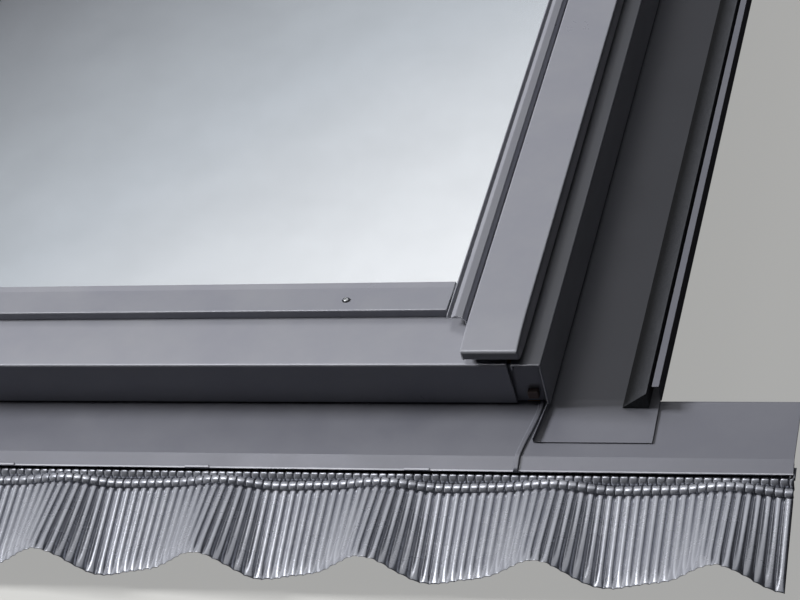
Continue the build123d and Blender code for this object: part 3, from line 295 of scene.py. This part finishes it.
# %% Glass
coated_glass, tree = finish("solar_coated_float_glass")
place = add(tree, "ShaderNodeTexCoord").outputs["Object"]
roller = add(tree, "ShaderNodeTexNoise", {"Vector": place, "Scale": 1 / (240 * MM), "Detail": 1.0})
film = add(tree, "ShaderNodeTexNoise", {"Vector": place, "Scale": 1 / (70 * MM), "Detail": 5.0})
veil = add(tree, "ShaderNodeMapRange", {"Value": film.outputs["Fac"], "To Min": 0.015,
                                        "To Max": 0.05})
tint = add(tree, "ShaderNodeValToRGB", {"Fac": film.outputs["Fac"]},
           [(0.3, "#F4F6F8"), (0.8, "#ECEEF0")])
relief = add(tree, "ShaderNodeBump", {"Height": roller.outputs["Fac"], "Distance": 0.02 * MM})
shader = add(tree, "ShaderNodeBsdfPrincipled",
             {"Base Color": tint.outputs["Color"], "Roughness": veil.outputs["Result"],
              "Metallic": 0.85, "IOR": 1.52, "Transmission Weight": 0.9,
              "Normal": relief.outputs["Normal"]})
add(tree, "ShaderNodeOutputMaterial", {"Surface": shader.outputs[0]})

clear_glass, tree = finish("clear_float_glass")
place = add(tree, "ShaderNodeTexCoord").outputs["Object"]
film = add(tree, "ShaderNodeTexNoise", {"Vector": place, "Scale": 1 / (90 * MM), "Detail": 0.0})
veil = add(tree, "ShaderNodeMapRange", {"Value": film.outputs["Fac"], "To Min": 0.0,
                                        "To Max": 0.002})
tint = add(tree, "ShaderNodeValToRGB", {"Fac": film.outputs["Fac"]},
           [(0.3, "#EFF5F2"), (0.8, "#E6ECE9")])
relief = add(tree, "ShaderNodeBump", {"Height": film.outputs["Fac"], "Distance": 0.02 * MM})
shader = add(tree, "ShaderNodeBsdfPrincipled",
             {"Base Color": tint.outputs["Color"], "Roughness": veil.outputs["Result"], "IOR": 1.52,
              "Transmission Weight": 1.0, "Normal": relief.outputs["Normal"]})
add(tree, "ShaderNodeOutputMaterial", {"Surface": shader.outputs[0]})
print("glass", coated_glass.name, clear_glass.name)

# %% [markdown]
# The rest are fittings. Zinc-plated steel has a faint spangle, crystals of 3 to 8 mm in the hot
# dipped brackets. Anodised aluminium is drawn, so it has fine lines along its length. Rubber and
# foam are black and matt, the foam with open cells of about 1 mm.

# %% Fittings


def speckled(name, code, other, roughness, metallic, cell_mm, depth_mm):
    """A finish with a cell pattern of a real size, for its tone and its relief."""
    material, tree = finish(name)
    place = add(tree, "ShaderNodeTexCoord").outputs["Object"]
    cells = add(tree, "ShaderNodeTexVoronoi", {"Vector": place, "Scale": 1 / (cell_mm * MM)})
    grain = add(tree, "ShaderNodeTexNoise", {"Vector": place, "Scale": 2 / (cell_mm * MM)})
    spots = add(tree, "ShaderNodeMath", {0: cells.outputs["Color"], 1: grain.outputs["Fac"]},
                operation="MULTIPLY")
    tone = add(tree, "ShaderNodeValToRGB", {"Fac": spots.outputs[0]}, [(0.1, code), (0.6, other)])
    rough = add(tree, "ShaderNodeMapRange", {"Value": spots.outputs[0], "To Min": roughness - 0.04,
                                             "To Max": roughness + 0.05})
    relief = add(tree, "ShaderNodeBump", {"Height": grain.outputs["Fac"],
                                          "Distance": depth_mm * MM})
    shader = add(tree, "ShaderNodeBsdfPrincipled",
                 {"Base Color": tone.outputs["Color"], "Roughness": rough.outputs["Result"],
                  "Metallic": metallic, "Normal": relief.outputs["Normal"]})
    add(tree, "ShaderNodeOutputMaterial", {"Surface": shader.outputs[0]})
    return material


zinc = speckled("hot_dip_galvanised_steel", "#A9ADB0", "#C3C6C8", 0.42, 1.0, 5.0, 0.02)
plated = speckled("zinc_plated_steel", "#B4B6B8", "#C8C9CA", 0.3, 1.0, 1.2, 0.004)
anodised = speckled("anodised_aluminium", "#C2C3C6", "#CFD0D2", 0.34, 1.0, 0.8, 0.006)
spacer = speckled("mill_finish_aluminium", "#A6A8AA", "#B8BABC", 0.45, 1.0, 1.0, 0.01)
rubber = speckled("epdm_rubber", "#17171A", "#202024", 0.72, 0.0, 0.7, 0.02)
foam = speckled("open_cell_foam", "#26272A", "#3A3B3F", 0.95, 0.0, 1.1, 0.5)
plastic = speckled("moulded_brown_polyamide", "#4A3833", "#57443E", 0.5, 0.0, 0.6, 0.02)
print("fittings", zinc.name, plated.name, anodised.name, spacer.name, rubber.name, foam.name)

# %% [markdown]
# Folded sheet is a line with rounded bends, pushed along. Real sheet is never sharp: a press brake
# leaves a bend of about one to two times the sheet's thickness, and that round is what catches the
# light as a bright line. The helper below rounds a line's corners. Another turns rows of points
# into a skin with a thickness, hangs it on the empty of the body it moves with, and hides the CAD
# node it stands for.

# %% Sheet helpers


def rounded(points, radius, steps=5):
    """A line of 2-D points with its corners rounded."""
    line = [Vector(points[0])]
    for before, here, after in zip(points, points[1:], points[2:]):
        here = Vector(here)
        to_before, to_after = Vector(before) - here, Vector(after) - here
        half = to_before.angle(to_after) / 2
        reach = min(radius / math.tan(half), 0.45 * to_before.length, 0.45 * to_after.length)
        start, end = here + to_before.normalized() * reach, here + to_after.normalized() * reach
        for step in range(steps + 1):
            t = step / steps
            line.append(start * (1 - t) ** 2 + here * 2 * t * (1 - t) + end * t * t)
    return line + [Vector(points[-1])]


def shifted(line, amount):
    """The line moved to its right hand side by an amount."""
    moved = []
    for index, point in enumerate(line):
        ahead = line[min(index + 1, len(line) - 1)] - line[max(index - 1, 0)]
        moved.append(point + Vector((ahead.y, -ahead.x)).normalized() * amount)
    return moved


def skin(name, rows, material, body, node, sheet=0.6):
    """A sheet through rows of points in mm. It rides on a body and stands for a CAD node."""
    count = len(rows[0])
    mesh = bpy.data.meshes.new(name)
    faces = [(r * count + c, r * count + c + 1, (r + 1) * count + c + 1, (r + 1) * count + c)
             for r in range(len(rows) - 1) for c in range(count - 1)]
    mesh.from_pydata([Vector(point) * MM for row in rows for point in row], [], faces)
    if sum(face.normal.z * face.area for face in mesh.polygons) < 0:
        mesh.flip_normals()
    mesh.polygons.foreach_set("use_smooth", [True] * len(mesh.polygons))
    mesh.materials.append(material)
    piece = bpy.data.objects.new(name, mesh)
    bpy.context.scene.collection.objects.link(piece)
    if sheet:
        mesh.materials.append(bare_edge)
        solid = piece.modifiers.new("sheet", "SOLIDIFY")
        solid.thickness = sheet * MM
        solid.offset = -1.0
        solid.material_offset_rim = 1
        if node != "pleated_apron":
            piece.modifiers.new("flat_faces", "WEIGHTED_NORMAL").keep_sharp = True
    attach(piece, body)
    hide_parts(node)
    return piece


# Half the frame's width, its lower end, the top of its covers, and the seat of the sash's covers.
HALF_W, SILL_Y, TOP_Z, SEAT_Z = 390.0, -594.0, 115.0, 113.4
print("frame half width, lower end, cover height and seat in mm:", HALF_W, SILL_Y, TOP_Z, SEAT_Z)

# %% [markdown]
# The pleated apron is the window's finest piece. A strip of soft aluminium is pleated every
# 7.5 mm, so it can be stretched into waves. Near its upper edge the press adds a roll:
# there the pleats stand out as a row of barrels, and behind them, half a pitch to the side, as a
# row of rounded teeth under the metal plate. Below the roll the pleats fan down to the lower edge,
# where they are patted flat by hand. A displacement texture could draw pleats, but only a mesh
# gives their deep grooves, their overlaps and the wavy edge in any model exported from the scene,
# so it is a mesh: eight columns to each pleat, and rows that follow the sheet's path.

# %% Pleated apron
PLEATS = 158
APRON_HALF_W = 594.75
PITCH = 2 * APRON_HALF_W / PLEATS
WAVE_PITCH, WAVE_H, WAVE_CREST_X = 144.0, 14.3, -36.6
ROLL_DEPTH, ROLL_Z, ROLL_R, ROLL_WAVE = 68.0, 43.2, 2.8, 0.22
APRON_DEPTH, APRON_Z, PLEAT_H = 150.0, 29.0, 1.6
# The barrels end at the first depth. The fan's line starts at the second one, and its height
# there is the third number. From the fourth, a depth, each pleat may lean on its own.
BARREL_END, FAN_DEPTH, FAN_Z, LEAN_DEPTH = 71.2, 71.5, 41.5, 72.0
# Each column's place in a pleat, in pitches from the ridge, and its height from -1 to 1.
BARREL = [(-0.5, -1.0), (-0.475, 0.1), (-0.44, 0.84), (-0.3, 0.98), (0.0, 1.0), (0.3, 0.98),
          (0.44, 0.84), (0.475, 0.1)]
RIDGE = [(-0.5, -1.0), (-0.42, -0.6), (-0.33, 0.15), (-0.19, 0.76), (0.0, 1.0), (0.19, 0.76),
         (0.33, 0.15), (0.42, -0.6)]


def apron_wave(x):
    """Height of the apron's wave: its crests are narrow and lean to the right."""
    turn = 2 * math.pi * (x - WAVE_CREST_X) / WAVE_PITCH
    return WAVE_H * (math.cos(turn) + 0.2 * math.cos(2 * turn) + 0.2 * math.sin(2 * turn))


# The path has one entry to each row: depth below the frame, height, share of the wave, pleat
# height, sideways shift of the pleats in pitches, and the direction in which the pleats stand out,
# in depth and height.
path = [(46.0, 47.0, 0.0, 0.3, 0.5, (0, 1)), (56.0, 45.2, 0.0, 0.3, 0.5, (0, 1)),
        (57.9, 44.9, 0.0, 0.4, 0.5, (0, 1)), (58.5, 46.2, 0.0, 1.0, 0.5, (0, 1)),
        (59.2, 48.2, 0.0, 1.7, 0.5, (0, 1)), (60.6, 48.9, 0.0, 2.1, 0.5, (0, 1)),
        (62.2, 48.0, 0.02, 2.1, 0.5, (0.15, 0.99)), (63.3, 46.6, 0.04, 1.9, 0.5, (0.4, 0.92)),
        (64.0, 44.9, 0.07, 1.2, 0.5, (0.6, 0.8)), (64.5, 43.6, 0.1, 0.4, 0.5, (0.3, 0.95)),
        (64.9, 43.4, 0.14, 0.4, 0.0, (-0.3, 0.95))]
for turn in (150, 122, 95, 68, 42, 16, -8):
    away = (math.cos(math.radians(turn)), math.sin(math.radians(turn)))
    path.append((ROLL_DEPTH + ROLL_R * away[0], ROLL_Z + ROLL_R * away[1], ROLL_WAVE, PLEAT_H, 0.0,
                 away))
path.append((71.1, 42.3, ROLL_WAVE, 0.7, 0.0, (0.75, 0.66)))
path.append((71.8, 42.2, 0.225, 0.55, 0.0, (0.3, 0.95)))
path.append((72.6, 41.6, 0.23, 1.2, 0.0, (0.1, 0.99)))
for share in (0.03, 0.06, 0.1, 0.16, 0.24, 0.33, 0.42, 0.51, 0.6, 0.69, 0.77, 0.84, 0.89, 0.93,
              0.96, 0.985, 1.0):
    flat = max(0.0, (share - 0.8) / 0.2)
    path.append((FAN_DEPTH + (APRON_DEPTH - FAN_DEPTH) * share, FAN_Z + (APRON_Z - FAN_Z) * share,
                 ROLL_WAVE + (1 - ROLL_WAVE) * share, PLEAT_H * (1 - 0.72 * flat ** 1.5), 0.0,
                 (0, 1)))
# How each pleat differs: its lean in pitches, its height, how far its lower end is cut back, and
# its dent from being patted.
chance = random.Random(7)
wobble = [(chance.uniform(-0.018, 0.018), chance.uniform(0.88, 1.06), chance.uniform(0, 0.7),
           chance.uniform(-1, 1)) for _ in range(PLEATS + 1)]
rows = []
for depth, z, share, height, shift, (out_y, out_z) in path:
    row = []
    below = max(0.0, (depth - LEAN_DEPTH) / (APRON_DEPTH - LEAN_DEPTH))
    for pleat in range(PLEATS):
        lean, tall, bite, dent = wobble[pleat]
        for along, profile in (BARREL if depth < BARREL_END else RIDGE):
            x = (pleat + 0.5 + along + shift + lean * below) * PITCH - APRON_HALF_W
            x = min(max(x, -APRON_HALF_W), APRON_HALF_W)
            steep = (apron_wave(x + 1) - apron_wave(x - 1)) / 2 * share
            side = Vector((-steep * out_z, out_z)).normalized() * abs(out_z)
            off = profile * height * (1 + (tall - 1) * below)
            pat = dent * 0.35 * max(0.0, (below - 0.8) / 0.2) * (1 - abs(along) * 2)
            end = bite * max(0.0, (below - 0.97) / 0.03)
            row.append((min(max(x + off * side.x, -APRON_HALF_W), APRON_HALF_W),
                        SILL_Y - depth - out_y * off + end,
                        z + share * apron_wave(x) + off * side.y + pat))
    rows.append(row)
apron = skin("apron_skin", rows, apron_lacquer, "frame", "pleated_apron",
             0.35)
print("apron rows", len(rows), "columns", len(rows[0]), "faces", len(apron.data.polygons))

# %% [markdown]
# The sill flashing's corner pieces are joined to its plate by folded seams: the two edges are
# hooked into each other and pressed flat, which leaves a raised band. Each runs in an S from the
# frame's corner down to the plate's lower edge. A band with rounded edges, swept along that S, has
# the bright line on its left and the dark one on its right that the folded sheet shows.

# %% Folded seams
SEAM_W, SEAM_H, SEAM_TOP_X, SEAM_FOOT_X = 4.5, 1.6, 379.0, 368.0
PLATE_Y, CREASE_Y, HEM_Y = -584.8, -644.0, -655.5
PLATE_Z, CREASE_Z, HEM_Z = 66.0, 61.0, 55.0
SEAM_ROWS = 40
band = rounded([(0.0, -0.6), (0.0, SEAM_H - 0.3), (0.9, SEAM_H), (SEAM_W - 0.9, SEAM_H - 0.1),
                (SEAM_W, SEAM_H - 0.5), (SEAM_W, -0.6)], 0.5, 3)
for side, name in ((1, "right"), (-1, "left")):
    rows = []
    for step in range(SEAM_ROWS + 1):
        t = step / SEAM_ROWS
        y = PLATE_Y + 1.0 + (HEM_Y - PLATE_Y - 1.0) * t
        x = SEAM_TOP_X + (SEAM_FOOT_X - SEAM_TOP_X) * t * t * (3 - 2 * t)
        if y > CREASE_Y:
            z = PLATE_Z + (CREASE_Z - PLATE_Z) * (PLATE_Y - y) / (PLATE_Y - CREASE_Y)
        else:
            z = CREASE_Z + (HEM_Z - CREASE_Z) * (CREASE_Y - y) / (CREASE_Y - HEM_Y)
        rows.append([(side * (x + point.x), y, z + point.y) for point in band])
    rows.append([(x, y + 0.1, min(z, HEM_Z) - 1.2) for x, y, z in rows[-1]])
    seam = skin("seam_band_" + name, rows, flashing_lacquer, "frame", "sill_seam_" + name,
                0.4)
    print(seam.name, "faces", len(seam.data.polygons))

# %% [markdown]
# The frame's side covers are angles: a strip on top and a flange down the side. Their lower ends
# are hemmed, folded back on themselves, so no cut edge faces the weather. The hem is a half-round,
# and it draws the pale line along the strip's front end and down the front of the flange.

# %% Frame side covers
FRAME_TOP_Y = 586.0
STRIP_W, STRIP_LIP_H, FLANGE_H, HEM_R = 26.0, 5.4, 44.0, 1.15


def hemmed(line, start, run_end):
    """Rows of a line pushed along Y, with a half-round hem that turns inwards at its start."""
    turns = [(3.0, 2.0), (1.0, 2.0), (0.3, 1.7), (0.05, 1.3), (0.05, 0.7), (0.3, 0.3), (1.0, 0.0)]
    rows = [[(p.x, start + HEM_R * ahead, p.y) for p in shifted(line, HEM_R * deep)]
            for ahead, deep in turns]
    for y in (start + 12.0, (start + run_end) / 2, run_end):
        rows.append([(p.x, y, p.y) for p in line])
    return rows


for side, name in ((1, "right"), (-1, "left")):
    corners = [(HALF_W - STRIP_W, TOP_Z - STRIP_LIP_H), (HALF_W - STRIP_W, TOP_Z),
               (HALF_W, TOP_Z), (HALF_W, TOP_Z - FLANGE_H)]
    rows = hemmed(rounded(corners, 2.0), SILL_Y, FRAME_TOP_Y)
    rows = [[(side * x, y, z) for x, y, z in row] for row in rows]
    cover = skin("frame_cover_" + name, rows, cover_lacquer, "frame", "frame_side_cover_" + name,
                 0.35)
    print(cover.name, "faces", len(cover.data.polygons))

# %% [markdown]
# The wide covers beside the glass ride on the sash. Each is a shallow channel whose lower end is
# drawn in a press: the top bends down a little over the last 48 mm, then turns over a soft lip into
# a short end face, and the lip's corners are round in plan. Rows of one profile do this too, when
# the last rows also close in from the sides and sink.

# %% Sash side covers
COVER_OUT, COVER_IN, COVER_Z = 16.4, 65.8, 133.0
END_L, END_DROP, LIP_R, CORNER_R, END_FACE_H = 48.0, 3.5, 2.4, 2.2, 8.0
# The lower edge of the inner side: at the end face, over the sill cover, and beyond that cover.
LIP_FLOOR, SILL_FLOOR = 121.4, 120.9
LIP_L, SILL_LAP_L = 3.0, 61.3
# The lower edge of the outer side, and how it rises towards the end.
OUT_FLOOR, OUT_RISE, OUT_RISE_L = 118.3, 3.0, 24.0
for side, name in ((1, "right"), (-1, "left")):
    corners = [(HALF_W - COVER_IN, SEAT_Z), (HALF_W - COVER_IN, COVER_Z),
               (HALF_W - COVER_OUT, COVER_Z), (HALF_W - COVER_OUT, OUT_FLOOR)]
    line = rounded(corners, 2.4, 6)
    middle = HALF_W - (COVER_IN + COVER_OUT) / 2
    half = (COVER_IN - COVER_OUT) / 2
    rows = []
    stations = [(0.0, END_FACE_H), (0.0, 5.5), (0.0, LIP_R)]
    stations += [(LIP_R - LIP_R * math.cos(t * math.pi / 12),
                  LIP_R - LIP_R * math.sin(t * math.pi / 12)) for t in range(1, 7)]
    stations += [(ahead, 0.0) for ahead in (3.6, 5.0, 8, 12, 18, 24, 30, 36, 42, 48, 52, 61, 62,
                                            120, 588.4)]
    for ahead, sink in stations:
        bend = END_DROP * (max(0.0, END_L - ahead) / END_L) ** 2
        close = CORNER_R - math.sqrt(max(0.0, CORNER_R ** 2 - max(0.0, CORNER_R - ahead) ** 2))
        floor_in = LIP_FLOOR if ahead < LIP_L else SILL_FLOOR if ahead < SILL_LAP_L else SEAT_Z
        floor_out = OUT_FLOOR + OUT_RISE * (max(0.0, OUT_RISE_L - ahead) / OUT_RISE_L) ** 2
        row = []
        for point in line:
            inner = point.x < middle
            z = min(point.y, COVER_Z - sink) - bend * (1.0 if point.y > COVER_Z - 3 else 0.0)
            z = max(z, floor_in if inner else floor_out)
            x = middle + (point.x - middle) * (half - close) / half
            row.append((side * x, SILL_Y + ahead, z))
        rows.append(row)
    cover = skin("sash_cover_" + name, rows, cover_lacquer, "sash", "sash_side_cover_" + name,
                 0.7)
    print(cover.name, "faces", len(cover.data.polygons))

# %% [markdown]
# The side beads hold the glass in the sash. Each is one thin extrusion with a narrow ridge along
# the glass, a valley, and a wide dome. Its lower end is sawn at a slant and left open, so the
# sheet's thickness shows there.

# %% Side beads
BEAD_IN, BEAD_OUT, GLASS_Z = 87.5, 69.0, 125.5
BEAD_START, SAW_SLANT, SAW_L, BEAD_LAP_L = 40.0, 4.5, 8.0, 21.5
bead_line = [Vector((HALF_W - depth, GLASS_Z + rise)) for depth, rise in
             ((BEAD_IN, 1.2), (86.9, 2.9), (86.3, 4.1), (85.6, 4.5), (84.9, 4.1), (84.2, 2.9))]
bead_line += rounded([(HALF_W - depth, GLASS_Z + rise) for depth, rise in
                      ((83.6, 2.2), (78.2, 6.1), (72.0, 4.6), (BEAD_OUT, 1.6),
                       (BEAD_OUT, -4.6))], 1.6)
for side, name in ((1, "right"), (-1, "left")):
    rows = []
    for ahead, flare in ((0.0, 0.35), (0.8, 0.25), (2.0, 0.12), (4.0, 0.03), (8.0, 0.0),
                         (21.0, 0.0), (22.0, 0.0), (500.0, 0.0), (1043.0, 0.0)):
        row = []
        for point in bead_line:
            across = (point.x - (HALF_W - BEAD_IN)) / (BEAD_IN - BEAD_OUT)
            slant = SAW_SLANT * (1 - across) * max(0.0, 1 - ahead / SAW_L)
            low = point.y - flare * (1 - across)
            if point.y < GLASS_Z - 3 and ahead > BEAD_LAP_L:
                low = SEAT_Z
            row.append((side * min(point.x + flare * across, HALF_W - BEAD_OUT),
                        SILL_Y + BEAD_START + ahead + slant, low))
        rows.append(row)
    bead = skin("bead_" + name, rows, cover_lacquer, "sash", "side_bead_" + name,
                0.8)
    print(bead.name, "faces", len(bead.data.polygons))

# %% [markdown]
# Across the sill lie the wide flat bead and, in front of it, the convex sill cover, whose front
# leans inwards so that it clears the frame when the sash turns. Both are pushed along X, and their
# ends are turned in with a small round.

# %% Sill bead and sill cover
END_R, SILL_BEAD_HALF_W, SILL_COVER_HALF_W = 0.9, 301.5, 361.0
CROWN_L, CROWN_H, CROWN_STEPS, FRONT_LEAN, FRONT_FOOT_Z = 60.0, 4.6, 10, 4.7, 68.2


def capped(line, half_width):
    """Rows of a (Y, Z) line pushed along X, with both ends rounded inwards."""
    ends = [(0.0, 1.6), (0.05, 0.7), (0.3, 0.28), (0.9, 0.0), (6.0, 0.0)]
    stations = [(-half_width + END_R * inset, END_R * deep) for inset, deep in ends]
    stations += [(x, 0.0) for x in (-150.0, 0.0, 150.0)]
    stations += [(half_width - END_R * inset, END_R * deep) for inset, deep in reversed(ends)]
    return [[(x, p.x, p.y) for p in shifted(line, deep)] for x, deep in stations]


bead = rounded([(-504.0, 125.9), (-504.6, 127.7), (-511.0, 126.9), (-540.6, 128.1),
                (-540.2, 119.9)], 1.6)
sill_bead = skin("sill_bead_skin", capped(bead[::-1], SILL_BEAD_HALF_W), cover_lacquer, "sash",
                 "sill_bead", 0.7)
crown = [(SILL_Y + CROWN_L * (1 - t / CROWN_STEPS), TOP_Z + CROWN_H * (1 - (t / CROWN_STEPS) ** 2))
         for t in range(CROWN_STEPS + 1)]
nose = [Vector((SILL_Y + CROWN_L, SEAT_Z))] + [Vector(point) for point in crown[:-1]]
nose += rounded([crown[-2], (SILL_Y, TOP_Z - 0.1), (SILL_Y + FRONT_LEAN, FRONT_FOOT_Z)], 2.4, 7)[1:]
sill_cover = skin("sill_cover_skin", capped(nose[::-1], SILL_COVER_HALF_W), cover_lacquer, "sash",
                  "sash_sill_cover", 0.7)
print(sill_bead.name, sill_cover.name, "faces", len(sill_cover.data.polygons))

# %% [markdown]
# The sill bead is held by small pan-head screws of stainless steel, 5 mm across, on a thin rubber
# washer. A screw is a turned part, so its profile is spun round its axis: the washer, the domed
# head and the socket in it.

# %% Bead screws
SCREW_X, SCREW_Y, SCREW_Z = 209.0, -527.0, 128.0
# The profile from the washer's rim to the bottom of the socket, as radius and height.
profile = [(3.3, -0.5), (3.3, 0.0), (2.9, 0.12), (2.6, 0.14), (2.6, 0.55), (2.35, 0.92),
           (1.7, 1.12), (1.15, 1.16), (1.05, 1.1), (0.95, 0.35), (0.0, 0.25)]
SIDES, WASHER_FACES = 24, 3
for side, name in ((1, "right"), (-1, "left")):
    rows = []
    for step in range(SIDES + 1):
        angle = 2 * math.pi * step / SIDES
        rows.append([(side * SCREW_X + radius * math.cos(angle), SCREW_Y + radius * math.sin(angle),
                      SCREW_Z + high) for radius, high in profile])
    screw = skin("bead_screw_" + name, rows, plated, "sash", "bead_screws", 0)
    screw.data.materials.append(rubber)
    for face in screw.data.polygons:
        if face.index % (len(profile) - 1) < WASHER_FACES:
            face.material_index = 1
    weld = screw.modifiers.new("weld", "WELD")
    weld.merge_threshold = 0.01 * MM
    print(screw.name, "faces", len(screw.data.polygons))

# %% [markdown]
# Each CAD node that stays now gets its finish. The sheet edges also get a small round, because a
# folded or cut sheet always catches a thin line of light at its edge, and a perfectly sharp one
# never does.

# %% Dress the CAD nodes
finishes = {
    pine_across: "frame_sill_rail frame_head_rail sash_sill_rail sash_head_rail",
    pine_along: "frame_stile_left frame_stile_right sash_stile_left sash_stile_right",
    cover_lacquer: "head_bead upper_side_cover_left upper_side_cover_right frame_sill_cover hood",
    flashing_lacquer: "side_gutter_left side_gutter_right head_flashing",
    sill_lacquer: "sill_flashing sill_corner_left sill_corner_right hem_clips",
    coated_glass: "outer_pane", clear_glass: "inner_pane",
    spacer: "spacer_bar", rubber: "edge_seal glazing_gasket weather_seal",
    foam: "foam_strip_left foam_strip_right", plastic: "corner_clips flap_clips bar_brackets",
    zinc: "mounting_brackets hinge_frame_plate_left hinge_frame_plate_right "
          "hinge_sash_plate_left hinge_sash_plate_right striker_plate",
    plated: "hinge_studs frame_plate_screws sash_plate_screws bracket_screws "
            "barrel_bolt bolt_bushes latch_tongue",
    anodised: "control_bar ventilation_flap",
}
edge_round = {cover_lacquer: 0.35, flashing_lacquer: 0.4, sill_lacquer: 0.4, pine_across: 1.2,
              pine_along: 1.2, coated_glass: 0.4, zinc: 0.3, plated: 0.4, anodised: 0.5,
              plastic: 0.6}
for material, names in finishes.items():
    for name in names.split():
        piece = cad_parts[name]
        piece.data.materials.clear()
        piece.data.materials.append(material)
        if material in edge_round:
            weld = piece.modifiers.new("weld", "WELD")
            weld.merge_threshold = 0.005 * MM
            soft = piece.modifiers.new("edge_round", "BEVEL")
            soft.width = edge_round[material] * MM
            soft.segments = 2
            soft.limit_method = "ANGLE"
            soft.angle_limit = math.radians(38)
            soft.harden_normals = True
            soft.miter_outer = "MITER_SHARP"
            soft.loop_slide = False
print("dressed", sum(len(names.split()) for names in finishes.values()), "nodes")

# %% [markdown]
# Last, the colours go to the screen as they are. The skins must stay inside the CAD's box.

# %% View transform
bpy.context.scene.view_settings.view_transform = "Standard"
